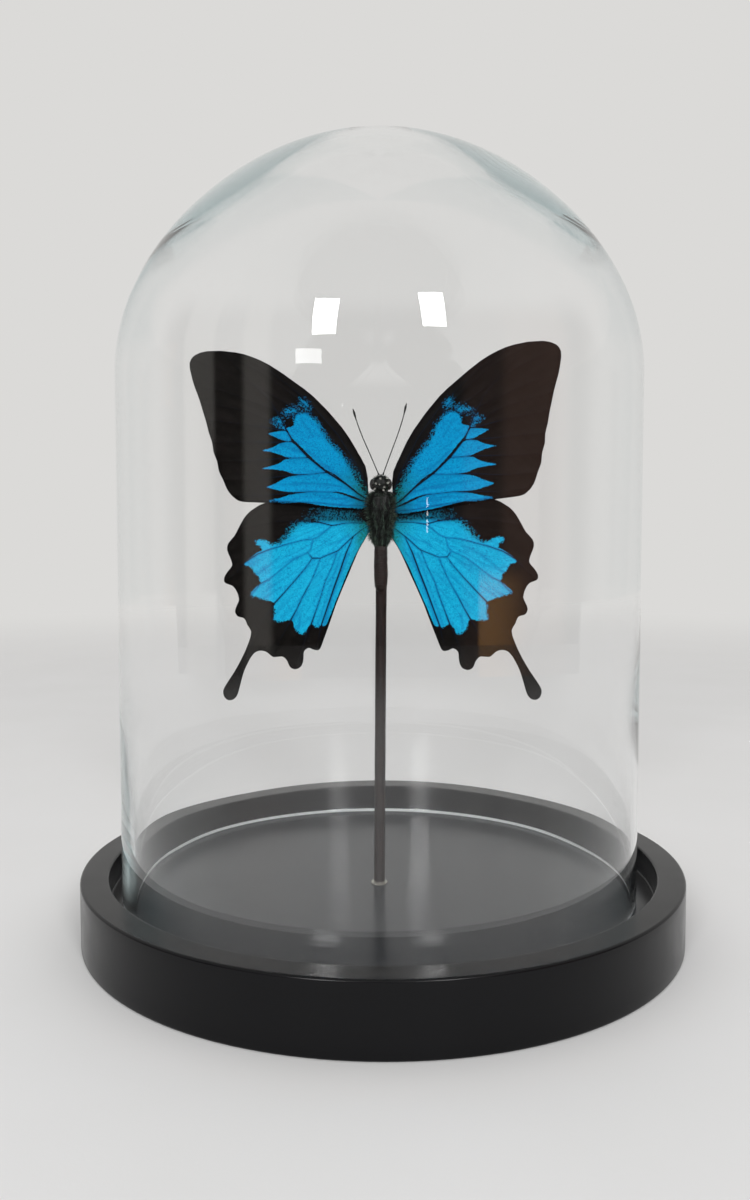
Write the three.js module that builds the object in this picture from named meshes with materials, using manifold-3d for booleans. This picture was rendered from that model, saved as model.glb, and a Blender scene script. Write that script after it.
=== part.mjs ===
// A spread swallowtail butterfly on a slim rod, under a glass dome on a round black base.
// Millimetres, +Z up. The origin is the middle of the base's underside. The insect's back and the
// blue upper side of its wings face -Y, and its head points up.
import * as THREE from 'three';
import { mergeVertices } from 'three/addons/utils/BufferGeometryUtils.js';
import Module from 'manifold-3d';

const wasm = await Module();
wasm.setup();

// Driving dimensions
const GAP = 0.3; // clearance between a piece and the one it is fixed to
const BASE_RADIUS = 85;
const BASE_HEIGHT = 18;
const FLOOR_Z = 10.8; // top of the sunk floor
const FLOOR_RADIUS = 77.3; // inside of the raised rim
const DOME_RADIUS = 73.1;
const DOME_TOP_Z = 221.2;
const CAP_HEIGHT = 66.8; // the domed part, above the straight wall
const CAP_FLATNESS = 0.025; // how far the shoulder lies inside a plain ellipse
const DOME_X = -1; // the dome stands a little to one side of the base's middle
const DOME_LIFT = 0.1; // the foot's clearance to the floor
// The blown wall's thickness at heights up the dome: drawn thin up the side, thick at the shoulder
const DOME_WALL = [
  [11, 2.4], [40, 2.2], [56, 1.8], [72, 1.1], [86, 0.8], [154, 0.8], [172, 1.2], [185, 1.8],
  [190, 2.3], [194, 3.6], [200, 5.6], [206, 6.7], [221.2, 7.4],
];
const ROD = { x: -0.9, y: -2.2, radius: 1.5, top: 118.3, lean: 0.35 }; // leans to +X, in degrees
const ROD_HOLE_DEPTH = 6;
const BODY = { x: -0.5, y: -7.5 }; // the body's long axis, in front of the rod
const BODY_DEPTH = 0.85; // back-to-belly thickness over width
const WING_THICKNESS = 0.4;
const FOREWING_Y = -8.3; // the back face of each pair of wings
const HINDWING_Y = -7.6;

const finish = (color, roughness, metalness = 0) =>
  new THREE.MeshStandardMaterial({ color, roughness, metalness });
const blackPaint = finish(0x1e1e21, 0.35);
const darkStain = finish(0x2f2525, 0.5);
const blackChitin = finish(0x151816, 0.6);
const brownChitin = finish(0x2b1f1d, 0.65);
const eyeBrown = finish(0x1a1210, 0.25);
const blueScales = finish(0x0f97c7, 0.5);
const clearGlue = finish(0xd8d8d0, 0.15);
const clearGlass = new THREE.MeshStandardMaterial({
  color: 0xe8f2f1, roughness: 0.02, metalness: 0, transparent: true, opacity: 0.3,
});

const group = new THREE.Group();

function piece(name, geometry, material, parent = group) {
  const mesh = new THREE.Mesh(geometry, material);
  mesh.name = name;
  parent.add(mesh);
  return mesh;
}

// A profile of [radius, height] pairs, turned about +Z
function turned(profile, segments) {
  const points = profile.map(([r, z]) => new THREE.Vector2(r, z));
  return new THREE.LatheGeometry(points, segments).rotateX(Math.PI / 2);
}

// A round bar along a smooth curve through the points
function bar(points, radius, steps, sides = 6) {
  const curve = new THREE.CatmullRomCurve3(points.map((p) => new THREE.Vector3(...p)));
  const section = new THREE.Shape(
    Array.from({ length: sides }, (_, i) => {
      const angle = (i / sides) * 2 * Math.PI;
      return new THREE.Vector2(radius * Math.cos(angle), radius * Math.sin(angle));
    }),
  );
  return new THREE.ExtrudeGeometry(section, { extrudePath: curve, steps });
}

// A smooth egg shape, its three half-sizes given
function egg([x, y, z], [halfX, halfY, halfZ], across = 14, along = 8) {
  return new THREE.SphereGeometry(1, across, along)
    .rotateX(Math.PI / 2)
    .scale(halfX, halfY, halfZ)
    .translate(x, y, z);
}

function toSolid(geometry) {
  const bare = geometry.clone();
  bare.deleteAttribute('normal');
  bare.deleteAttribute('uv');
  const merged = mergeVertices(bare, 1e-4);
  return new wasm.Manifold(new wasm.Mesh({
    numProp: 3,
    vertProperties: new Float32Array(merged.attributes.position.array),
    triVerts: new Uint32Array(merged.index.array),
  }));
}

function toGeometry(solid) {
  const mesh = solid.getMesh();
  const geometry = new THREE.BufferGeometry();
  geometry.setAttribute('position', new THREE.BufferAttribute(mesh.vertProperties, 3));
  geometry.setIndex(new THREE.BufferAttribute(mesh.triVerts, 1));
  return geometry;
}

// A quarter round between two walls: count points about (r, z), starting at an angle in degrees
function quarter(r, z, radius, start, count) {
  return Array.from({ length: count }, (_, i) => {
    const angle = THREE.MathUtils.degToRad(start + (90 * i) / (count - 1));
    return [r + radius * Math.cos(angle), z + radius * Math.sin(angle)];
  });
}

// Base: a disc with a raised rim, its edges eased, and a blind hole for the rod
function base() {
  const foot = 0.8;
  const outer = 1.2;
  const inner = 0.8;
  const disc = turned([
    [0, 0],
    ...quarter(BASE_RADIUS - foot, foot, foot, -90, 3),
    ...quarter(BASE_RADIUS - outer, BASE_HEIGHT - outer, outer, 0, 4),
    ...quarter(FLOOR_RADIUS + inner, BASE_HEIGHT - inner, inner, 90, 3),
    [FLOOR_RADIUS, FLOOR_Z],
    [0, FLOOR_Z],
  ], 64);
  const above = 5;
  const hole = new THREE.CylinderGeometry(ROD.radius + GAP, ROD.radius + GAP, ROD_HOLE_DEPTH + above, 24)
    .rotateX(Math.PI / 2)
    .translate(ROD.x, ROD.y, FLOOR_Z + (above - ROD_HOLE_DEPTH) / 2);
  piece('base', toGeometry(toSolid(disc).subtract(toSolid(hole))), blackPaint);
}

// One skin of the dome's cap, from its shoulder to its crown
function cap(radius, height, crownZ, steps) {
  return Array.from({ length: steps + 1 }, (_, i) => {
    const angle = (i / steps) * (Math.PI / 2);
    const pull = 1 - CAP_FLATNESS * Math.sin(2 * angle) ** 2;
    const r = i === steps ? 0 : radius * Math.cos(angle) * pull;
    return [r, crownZ - height + height * Math.sin(angle) * pull];
  });
}

function wallAt(z) {
  const above = DOME_WALL.findIndex(([height]) => height > z);
  if (above === -1) return DOME_WALL.at(-1)[1];
  const [low, thin] = DOME_WALL[above - 1];
  const [high, thick] = DOME_WALL[above];
  return thin + ((thick - thin) * (z - low)) / (high - low);
}

// The inside skin: each point of the outside skin, moved in by the wall's thickness there
function inset(skin) {
  return skin.map(([r, z], i) => {
    if (r === 0) return [0, z - wallAt(z)];
    const [beforeR, beforeZ] = skin[Math.max(i - 1, 0)];
    const [afterR, afterZ] = skin[Math.min(i + 1, skin.length - 1)];
    const along = Math.hypot(afterR - beforeR, afterZ - beforeZ);
    const wall = wallAt(z) / along;
    return [r - wall * (afterZ - beforeZ), z + wall * (afterR - beforeR)];
  });
}

// Dome: a thin bell, open below, its foot melted round
function dome() {
  const footRadius = wallAt(FLOOR_Z + 1) / 2;
  const footZ = FLOOR_Z + DOME_LIFT + footRadius;
  const side = [footZ, 40, 56, 72, 86].map((z) => [DOME_RADIUS, z]);
  const skin = cap(DOME_RADIUS, CAP_HEIGHT, DOME_TOP_Z, 12);
  const foot = [-135, -90, -45].map((degrees) => {
    const angle = THREE.MathUtils.degToRad(degrees);
    return [
      DOME_RADIUS - footRadius + footRadius * Math.cos(angle),
      footZ + footRadius * Math.sin(angle),
    ];
  });
  const bell = turned([...inset([...side, ...skin]).reverse(), ...foot, side[0], ...skin], 50);
  piece('dome', bell, clearGlass).position.x = DOME_X;
}

// A bar on the rod's own leaning axis
function onRodAxis(radius, bottom, top) {
  return new THREE.CylinderGeometry(radius, radius, top - bottom, 24)
    .rotateX(Math.PI / 2)
    .translate(0, 0, (top + bottom) / 2 - FLOOR_Z)
    .rotateY(THREE.MathUtils.degToRad(ROD.lean))
    .translate(ROD.x, ROD.y, FLOOR_Z);
}

function rod() {
  piece('rod', onRodAxis(ROD.radius, FLOOR_Z - ROD_HOLE_DEPTH + GAP, ROD.top), darkStain);

  const beadWidth = 0.9;
  const inside = ROD.radius + GAP;
  const bead = turned([
    [inside, 0],
    [inside + beadWidth, 0],
    [inside + 0.6 * beadWidth, 0.6],
    [inside, 1],
    [inside, 0],
  ], 20);
  piece('foot_glue', bead, clearGlue).position.set(ROD.x, ROD.y, FLOOR_Z + DOME_LIFT);
}

// Thorax: [half-width, height] from its hind end to the neck
const THORAX = [
  [0, 109.2], [1.5, 109.5], [2.1, 110.5], [2.3, 112.3], [2.35, 114.3], [2.7, 115.9], [3.2, 117.7],
  [3.4, 119.5], [3.2, 121.3], [2.6, 122.4], [1.6, 122.8], [0, 122.9],
];

function thoraxSolid(margin = 0) {
  const middle = 116;
  const profile = THORAX.map(([r, z]) => [
    r === 0 ? 0 : r + margin,
    z > middle ? z + margin : z - margin,
  ]);
  return turned(profile, 20).scale(1, BODY_DEPTH, 1).translate(BODY.x, BODY.y, 0);
}

function body() {
  piece('thorax', thoraxSolid(), blackChitin);

  const abdomenTop = 108.9;
  const abdomenProfile = [
    [0, -13.4], [0.8, -13.2], [1.35, -12.5], [1.75, -11.2], [1.88, -9], [1.9, -6.5], [1.82, -4],
    [1.78, -1.5], [1.6, -0.4], [1, -0.1], [0, 0],
  ];
  const abdomen = piece('abdomen', turned(abdomenProfile, 18), brownChitin);
  abdomen.position.set(BODY.x, BODY.y, abdomenTop);
  abdomen.rotation.x = THREE.MathUtils.degToRad(4); // its tip hangs a little towards the rod

  // The glue bridges the slot between the thorax and the rod's top
  const blob = egg([-0.3, BODY.y + 3.3, 115.4], [1.7, 0.9, 2.4]);
  const glue = toSolid(blob)
    .subtract(toSolid(onRodAxis(ROD.radius + GAP, FLOOR_Z, ROD.top + GAP)))
    .subtract(toSolid(thoraxSolid(GAP)));
  piece('body_glue', toGeometry(glue), clearGlue);
}

const SIDES = { left: -1, right: 1 };
const HEAD_Z = 125.7;

function head() {
  const eyeSize = [1.05, 1.35, 1.6];
  const eyeOut = 2.1;
  let skull = toSolid(egg([BODY.x, BODY.y, HEAD_Z], [2.3, 2, 2.45], 18, 10));
  for (const [side, out] of Object.entries(SIDES)) {
    const middle = [BODY.x + out * eyeOut, BODY.y - 0.1, HEAD_Z];
    piece(`eye_${side}`, egg(middle, eyeSize), eyeBrown);
    skull = skull.subtract(toSolid(egg(middle, eyeSize.map((half) => half + GAP))));
  }
  piece('head', toGeometry(skull), blackChitin);

  // The tongue is coiled like a watch spring under the face
  const turns = 1.75;
  const steps = 22;
  const coil = Array.from({ length: steps + 1 }, (_, i) => {
    const angle = (i / steps) * turns * 2 * Math.PI;
    const r = 1.25 - (0.85 * i) / steps;
    return [BODY.x, BODY.y + 3.9 - r * Math.cos(angle), HEAD_Z - 0.4 + r * Math.sin(angle)];
  });
  piece('proboscis', bar(coil, 0.14, 24), brownChitin);
}

// Antenna: [out, up] from the crown of the head, with a club at the tip
function antennae() {
  const run = [[0, 0], [2.2, 5.5], [4.2, 10.4], [5.7, 14.6], [6.7, 18.2]];
  const clubLength = 3.2;
  const stretch = { left: 0.97, right: 1.03 };
  const spread = { left: 1.5, right: -1.7 }; // degrees, outwards
  for (const [side, out] of Object.entries(SIDES)) {
    const path = run.map(([x, z]) => [out * x * stretch[side], -0.03 * z, z * stretch[side]]);
    const [before, tip] = path.slice(-2).map((p) => new THREE.Vector3(...p));
    const along = tip.clone().sub(before).normalize();
    const club = egg([0, 0, 0], [0.45, 0.45, clubLength / 2], 8, 6);
    club.applyQuaternion(
      new THREE.Quaternion().setFromUnitVectors(new THREE.Vector3(0, 0, 1), along),
    );
    const middle = tip.clone().addScaledVector(along, -0.3 * clubLength);
    club.translate(middle.x, middle.y, middle.z);
    const whole = toSolid(bar(path, 0.22, 12)).add(toSolid(club));
    const antenna = piece(`antenna_${side}`, toGeometry(whole), blackChitin);
    antenna.position.set(BODY.x + out * 0.6, BODY.y, HEAD_Z + 2.45 + GAP + 0.1);
    antenna.rotation.y = THREE.MathUtils.degToRad(out * spread[side]);
  }
}

// Wing outlines as [out, up] from the hinge, for wings of either side
const FOREWING = [
  [0.6, 4], [1.1, 10], [3.3, 14.7], [7.2, 20.7], [15.1, 29.2], [20, 32.9], [27, 37.6], [32, 39.9],
  [36.6, 41.1], [44.1, 41.4], [47.6, 40.2], [48.9, 38.2], [48.6, 35.4], [47.9, 32.6], [47, 30],
  [46.1, 27.4], [45.3, 24.6], [44.5, 22], [43.8, 19], [42.9, 16.4], [42.6, 13.8], [41.6, 11.2],
  [41.2, 8.6], [40, 6.1], [38.8, 3.2], [36.1, 0.5], [33.2, 0], [23.7, -0.3], [9.8, -1.7], [1, -1.9],
  [0.6, -0.5],
];
const HINDWING = [
  [0.6, -3], [3.4, -9], [6, -15.2], [9.5, -23.6], [13.5, -35.3], [14.4, -37], [16.1, -36.8],
  [17.2, -36.3], [18.6, -37.4], [18.7, -39.4], [19.4, -41.7], [21.2, -42.5], [22.6, -41.8],
  [23.3, -40.1], [24.6, -38.8], [27.2, -39], [28.9, -37.6], [30.5, -37.1], [32.4, -37.7],
  [34.4, -40.8], [35.6, -43.6], [36.6, -47.3], [37.4, -49.9], [38.4, -51.1], [39.9, -51.4],
  [41, -50.4], [41.3, -48.5], [40.1, -46.2], [38.1, -43.1], [35.9, -39.1], [34.1, -34.9],
  [33.3, -31.5], [34.4, -29.5], [35.2, -27.6], [37, -27.1], [37.8, -25.6], [37.1, -23.6],
  [36.6, -22.2], [37.5, -19.5], [38.6, -18.3], [40.5, -17.6], [40.7, -16.2], [39.6, -14.3],
  [38.4, -12.7], [39, -10.5], [39.8, -8.4], [39.5, -6.6], [37.8, -4.6], [36.8, -2.8], [35.2, 0.2],
  [33.3, 2.4], [28, 5.2], [19, 6.2], [8, 5.2], [3.5, 4.2], [1, 3.3], [0.6, 0.5],
];

function wing(outline, out, size) {
  const points = outline.map(([x, z]) => new THREE.Vector3(out * x * size, z * size, 0));
  const curve = new THREE.CatmullRomCurve3(points, true, 'centripetal');
  const shape = new THREE.Shape(curve.getPoints(2 * points.length).slice(0, -1));
  return new THREE.ExtrudeGeometry(shape, { depth: WING_THICKNESS, bevelEnabled: false })
    .rotateX(Math.PI / 2);
}

// Each wing's hinge, its size, and its turn in degrees, raised from the left wing's spread
const HINGES = {
  forewing_left: { x: -4.1, z: 120.7, raised: 0, size: 1 },
  forewing_right: { x: 3.2, z: 119.1, raised: 5.3, size: 1.009 },
  hindwing_left: { x: -3.5, z: 115.9, raised: 0, size: 1 },
  hindwing_right: { x: 1.2, z: 116, raised: 1.6, size: 1.021 },
};

function wings() {
  const thorax = toSolid(thoraxSolid(GAP));
  for (const [name, { x, z, raised, size }] of Object.entries(HINGES)) {
    const [kind, side] = name.split('_');
    const fore = kind === 'forewing';
    const plate = wing(fore ? FOREWING : HINDWING, SIDES[side], size)
      .rotateY(THREE.MathUtils.degToRad(-SIDES[side] * raised))
      .translate(x, fore ? FOREWING_Y : HINDWING_Y, z);
    piece(name, toGeometry(toSolid(plate).subtract(thorax)), blueScales);
  }
}

// Legs: hip, knee, ankle and toe of one side's three, out from the body's axis, folded on the belly
function legs() {
  const runs = {
    front: [[1.3, 3.75, 120.7], [2.6, 5.2, 122.1], [2.6, 5.6, 118.3], [2.6, 5.2, 115.7]],
    mid: [[2.3, 3.4, 117.9], [3.6, 4, 118.6], [3.5, 4.6, 115.2], [3.1, 4.9, 112.4]],
    hind: [[2, 3.1, 114.1], [2.4, 5.8, 113], [1.3, 7.2, 106], [1.2, 7.2, 99.5]],
  };
  for (const [pair, run] of Object.entries(runs)) {
    for (const [side, out] of Object.entries(SIDES)) {
      const path = run.map(([x, y, z]) => [out * x, y, z]);
      const leg = piece(`leg_${pair}_${side}`, bar(path, 0.28, 9), blackChitin);
      leg.position.set(BODY.x, BODY.y, 0);
    }
  }
}

base();
dome();
rod();
body();
head();
antennae();
wings();
legs();

export default group;
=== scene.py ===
# A spread blue swallowtail on a stained rod, under a blown-glass dome on a black-painted base.
import math

import bpy
import numpy as np
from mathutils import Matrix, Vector, geometry


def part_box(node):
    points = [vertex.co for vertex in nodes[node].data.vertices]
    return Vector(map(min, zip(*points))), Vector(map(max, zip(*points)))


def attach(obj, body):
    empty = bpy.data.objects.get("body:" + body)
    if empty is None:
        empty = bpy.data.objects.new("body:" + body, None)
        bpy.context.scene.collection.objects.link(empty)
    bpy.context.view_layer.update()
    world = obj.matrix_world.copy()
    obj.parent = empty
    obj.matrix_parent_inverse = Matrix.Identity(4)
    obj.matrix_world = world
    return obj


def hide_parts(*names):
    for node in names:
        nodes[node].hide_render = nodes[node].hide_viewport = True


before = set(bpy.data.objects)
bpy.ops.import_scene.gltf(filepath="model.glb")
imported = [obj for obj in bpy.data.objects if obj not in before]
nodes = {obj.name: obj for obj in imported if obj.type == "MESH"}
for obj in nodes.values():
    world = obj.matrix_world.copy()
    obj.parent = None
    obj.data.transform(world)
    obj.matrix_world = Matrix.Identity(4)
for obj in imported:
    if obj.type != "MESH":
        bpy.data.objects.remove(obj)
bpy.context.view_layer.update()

MM = 0.001  # every size below is in millimetres, and every mesh is made in metres
random = np.random.default_rng(11)

# Driving sizes, the same as the frame's
BASE_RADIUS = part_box("base")[1].x / MM
BASE_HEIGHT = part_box("base")[1].z / MM
FLOOR_Z = 10.8  # the sunk floor that the dome and the rod stand on
FLOOR_RADIUS = 77.3
DOME_RADIUS = (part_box("dome")[1].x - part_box("dome")[0].x) / 2 / MM
DOME_X = (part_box("dome")[1].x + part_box("dome")[0].x) / 2 / MM
DOME_TOP_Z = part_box("dome")[1].z / MM
DOME_FOOT_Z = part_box("dome")[0].z / MM
# The blown wall's thickness at heights up its left and right sides, and elsewhere round it
WALL_LEFT = [
    (11, 2.8), (27, 2.7), (40, 2.3), (51, 1.7), (59, 1.1), (67, 0.65), (75, 0.5), (150, 0.55),
    (172, 0.65), (186, 0.85), (192, 1.5), (197, 2.5), (202, 3.6), (207, 4.2), (212, 3.4), (222, 1.6),
]
WALL_RIGHT = [
    (11, 1.8), (27, 1.8), (40, 1.8), (51, 1.75), (59, 1.6), (67, 1.35), (75, 1.1), (83, 0.9),
    (95, 0.75), (110, 0.65), (150, 0.5), (186, 0.5), (191, 1.0), (195, 2.2), (200, 3.6), (206, 4.3),
    (212, 3.4), (222, 1.6),
]
WALL_REST = [
    (11, 2.3), (40, 2.1), (56, 1.8), (72, 1.2), (90, 0.9), (172, 0.9), (186, 1.1), (198, 1.5),
    (210, 1.6), (222, 1.6),
]
CAP_HEIGHT = 66.8  # the domed part, above the straight wall
CAP_FLATNESS = 0.025  # how far the shoulder lies inside a plain ellipse
ROD_X, ROD_Y, ROD_RADIUS, ROD_TOP_Z, ROD_LEAN = -0.9, -2.2, 1.5, 118.3, 0.35
HOLE_DEPTH = 6
BODY_X, BODY_Y = -0.5, -7.5  # the insect's long axis
BODY_DEPTH = 0.85  # back-to-belly thickness over width
HEAD_Z = 125.7
SIDES = {"left": -1, "right": 1}


# ---------------------------------------------------------------- materials

def linear(hex_colour):
    """An sRGB hex colour as linear RGBA."""
    parts = [int(hex_colour[i:i + 2], 16) / 255 for i in (1, 3, 5)]
    return [c / 12.92 if c <= 0.04045 else ((c + 0.055) / 1.055) ** 2.4 for c in parts] + [1]


def add(tree, kind, inputs=(), output=0, **settings):
    """Adds a shader node with its settings and links, and gives one output of it, or all for None.

    The inputs are values or other nodes' outputs: a list in the node's own order, or a dict.
    """
    node = tree.nodes.new("ShaderNode" + kind)
    for name, value in settings.items():
        setattr(node, name, value)
    for name, value in inputs.items() if isinstance(inputs, dict) else enumerate(inputs):
        if isinstance(value, bpy.types.NodeSocket):
            tree.links.new(value, node.inputs[name])
        else:
            node.inputs[name].default_value = value
    return node.outputs if output is None else node.outputs[output]


SMOOTH = {"interpolation_type": "SMOOTHSTEP"}  # a range eased at both ends
SHARE, UNDER, OVER, MIXED = 0, 6, 7, 2  # sockets of the node that mixes colours


def layered(tree, colour, layers):
    """Lays colours over a first one, each by its share of 0 to 1."""
    colour = linear(colour) if isinstance(colour, str) else colour
    for share, over in layers:
        over = linear(over) if isinstance(over, str) else over
        colour = add(tree, "Mix", {SHARE: share, UNDER: colour, OVER: over}, MIXED, data_type="RGBA")
    return colour


def faded(tree, share, *steps):
    """A share cut down by steps, each [what, low, high] eased from 0 to 1, or to the two after it."""
    for step in steps:
        eased = add(tree, "MapRange", step, **SMOOTH)
        share = add(tree, "Math", [share, eased], operation="MULTIPLY")
    return share


def finish(name):
    """An empty node material and its tree."""
    material = bpy.data.materials.new(name)
    material.use_nodes = True
    material.node_tree.nodes.clear()
    return material, material.node_tree


def place_in_mm(tree, stretch=(1, 1, 1)):
    """The piece's own coordinates in millimetres, stretched where a grain runs one way."""
    own = add(tree, "TexCoord", output="Object")
    return add(tree, "Mapping", {"Vector": own, "Scale": [s / MM for s in stretch]})


def specks(tree, place, spacing, size, share):
    """Small round flecks: 1 on a fleck. One per cell of spacing, in a share of the cells."""
    distance, cell = add(tree, "TexVoronoi", {"Vector": place, "Scale": 1 / spacing}, None)[:2]
    chosen = add(tree, "Math", [add(tree, "SeparateColor", [cell]), share], operation="LESS_THAN")
    return faded(tree, chosen, [distance, size / spacing, 0.4 * size / spacing])


def surface(tree, volume=None, **inputs):
    """The shader and the output. The inputs are named as on the shader, with _ for a space."""
    named = {name.replace("_", " "): value for name, value in inputs.items()}
    sockets = {"Surface": add(tree, "BsdfPrincipled", named)}
    if volume is not None:
        sockets["Volume"] = volume
    add(tree, "OutputMaterial", sockets, None)


def black_satin_paint():
    """Sprayed satin black lacquer on turned wood: a soft sheen, faint orange peel, some dust.

    Single specks of dust lie on the open rim and sides. The floor under the glass is painted a lighter
    slaty grey, a painted reflection of the pale surroundings.
    """
    material, tree = finish("black_satin_paint")
    place = place_in_mm(tree)
    level = add(tree, "VectorMath", [place, (1, 1, 0)], operation="MULTIPLY")
    outwards = add(tree, "VectorMath", [level], "Value", operation="LENGTH")
    # The floor under the glass, where a lighter grey is painted on as a painted reflection
    floor_painted_reflection = add(tree, "MapRange", [outwards, FLOOR_RADIUS - 2, FLOOR_RADIUS - 5], **SMOOTH)
    dust = add(tree, "Math", [specks(tree, place, 4.2, 0.1, 0.06), specks(tree, place, 11, 0.17, 0.1)],
               operation="MAXIMUM")
    dust = faded(tree, dust, [outwards, FLOOR_RADIUS, FLOOR_RADIUS + 1])
    cloud = add(tree, "TexNoise", {"Vector": place, "Scale": 1 / 22, "Detail": 4})
    colour = layered(tree, "#050507", [(cloud, "#0a0a0c"), (floor_painted_reflection, "#25272a"), (dust, "#9a9894")])
    peel = add(tree, "TexNoise", {"Vector": place, "Scale": 1 / 1.8, "Detail": 1})
    peel = add(tree, "Bump", {"Height": peel, "Distance": 0.003 * MM, "Strength": 0.2})
    gloss = add(tree, "TexNoise", {"Vector": place, "Scale": 1 / 9, "Detail": 3})
    surface(tree, Base_Color=colour, IOR=1.5, Specular_IOR_Level=0.2,
            Roughness=add(tree, "MapRange", [gloss, 0.3, 0.7, 0.2, 0.26], **SMOOTH),
            Normal=add(tree, "Bump", {"Height": dust, "Distance": 0.05 * MM, "Normal": peel}))
    return material


def blown_glass():
    """Clear soda-lime glass, blown: almost no colour, a faint green depth at the edges, slow waves."""
    material, tree = finish("blown_soda_lime_glass")
    place = place_in_mm(tree, (1, 1, 0.4))
    waves = add(tree, "TexNoise", {"Vector": place, "Scale": 1 / 24, "Detail": 1})
    depth = add(tree, "VolumeAbsorption", {"Color": linear("#dae7e8"), "Density": 18.0})
    surface(tree, depth, Base_Color=linear("#ffffff"), IOR=1.5, Roughness=0.0, Transmission_Weight=1.0,
            Normal=add(tree, "Bump", {"Height": waves, "Distance": 0.06 * MM, "Strength": 0.5}))
    return material


def ground_glass():
    """The same glass where the foot was ground level: its grit marks catch the light as a fine line.

    Real grit marks are 0.05 mm across. They are drawn at 0.7 mm so that they can show.
    """
    material, tree = finish("ground_soda_lime_glass")
    grit = add(tree, "TexNoise", {"Vector": place_in_mm(tree), "Scale": 1 / 0.7, "Detail": 3})
    surface(tree, Base_Color=linear("#f4f8f8"), IOR=1.5, Transmission_Weight=0.6,
            Roughness=add(tree, "MapRange", [grit, 0.3, 0.7, 0.35, 0.6], **SMOOTH),
            Normal=add(tree, "Bump", {"Height": grit, "Distance": 0.08 * MM}))
    return material


def stained_stick():
    """A thin hardwood stick, stained nearly black: fine long grain, a dull waxed shine."""
    material, tree = finish("stained_hardwood")
    place = place_in_mm(tree, (1, 1, 0.06))
    grain = add(tree, "TexNoise", {"Vector": place, "Scale": 1 / 0.35, "Detail": 5, "Roughness": 0.6})
    place = place_in_mm(tree, (1, 1, 0.4))
    blotch = add(tree, "TexNoise", {"Vector": place, "Scale": 1 / 5, "Detail": 2})
    colour = layered(tree, "#0b0505", [
        (add(tree, "MapRange", [grain, 0.35, 0.7], **SMOOTH), "#22130f"),
        (add(tree, "MapRange", [blotch, 0.4, 0.7, 0, 0.5], **SMOOTH), "#150b0a")])
    surface(tree, Base_Color=colour, IOR=1.5, Specular_IOR_Level=0.25,
            Roughness=add(tree, "MapRange", [grain, 0.3, 0.7, 0.42, 0.6], **SMOOTH),
            Normal=add(tree, "Bump", {"Height": grain, "Distance": 0.05 * MM, "Strength": 0.6}))
    return material


def clear_glue():
    """Dried clear glue: glossy, a little cloudy and yellow."""
    material, tree = finish("dried_clear_glue")
    cloud = add(tree, "TexNoise", {"Vector": place_in_mm(tree), "Scale": 1 / 1.2, "Detail": 3})
    surface(tree, Base_Color=layered(tree, "#d8d3c6", [(cloud, "#b9b2a2")]), IOR=1.47, Roughness=0.12,
            Transmission_Weight=0.96,
            Normal=add(tree, "Bump", {"Height": cloud, "Distance": 0.06 * MM}))
    return material


def insect_cuticle(name, dark, light, pit_spacing=0.5, roughness=0.42):
    """Insect cuticle: hard and dark, finely pitted, with a low shine on the ridges."""
    material, tree = finish(name)
    pits = add(tree, "TexNoise", {"Vector": place_in_mm(tree), "Scale": 1 / pit_spacing, "Detail": 5,
                                  "Roughness": 0.65})
    colour = layered(tree, dark, [(add(tree, "MapRange", [pits, 0.35, 0.75], **SMOOTH), light)])
    surface(tree, Base_Color=colour, IOR=1.55, Specular_IOR_Level=0.3,
            Roughness=add(tree, "MapRange", [pits, 0.3, 0.7, roughness, roughness + 0.2], **SMOOTH),
            Normal=add(tree, "Bump", {"Height": pits, "Distance": 0.06 * MM, "Strength": 0.8}))
    return material


def down_hair():
    """The down on the body: fine hairs, black at the root, with green-grey tips that are partly the down's
    own colour and partly a painted glint.
    """
    material, tree = finish("body_down")
    along, shade = [add(tree, "Attribute", output="Fac", attribute_name=mark)
                    for mark in ("along", "shade")]
    # Pale tips, by each hair's shade mark: a painted glint over the down's own green-grey
    tip = layered(tree, "#050706", [(add(tree, "MapRange", [shade, 0.62, 0.98], **SMOOTH), "#7c9a86")])
    colour = layered(tree, "#030404", [(add(tree, "MapRange", [along, 0.3, 1], **SMOOTH), tip)])
    surface(tree, Base_Color=colour, IOR=1.55, Specular_IOR_Level=0.2, Roughness=0.45)
    return material


def pale_scales():
    """The white scale tufts on the crown and collar."""
    material, tree = finish("white_scale_tufts")
    along = add(tree, "Attribute", output="Fac", attribute_name="along")
    surface(tree, Base_Color=layered(tree, "#8f8f88", [(along, "#f4f3ec")]), IOR=1.5, Roughness=0.6)
    return material


def compound_eye():
    """A dried compound eye: dark and glossy, with a fine six-sided facet net.

    Real facets are 0.03 mm across. They are drawn at 0.12 mm so that the net can show.
    """
    material, tree = finish("compound_eye")
    net = add(tree, "TexVoronoi", {"Vector": place_in_mm(tree), "Scale": 1 / 0.12}, "Distance",
              feature="DISTANCE_TO_EDGE")
    colour = layered(tree, "#050404", [(add(tree, "MapRange", [net, 0, 0.2], **SMOOTH), "#120d0b")])
    facets = add(tree, "MapRange", [net, 0, 0.25], **SMOOTH)
    surface(tree, Base_Color=colour, IOR=1.5, Roughness=0.2,
            Normal=add(tree, "Bump", {"Height": facets, "Distance": 0.01 * MM, "Strength": 0.7}))
    return material


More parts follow.
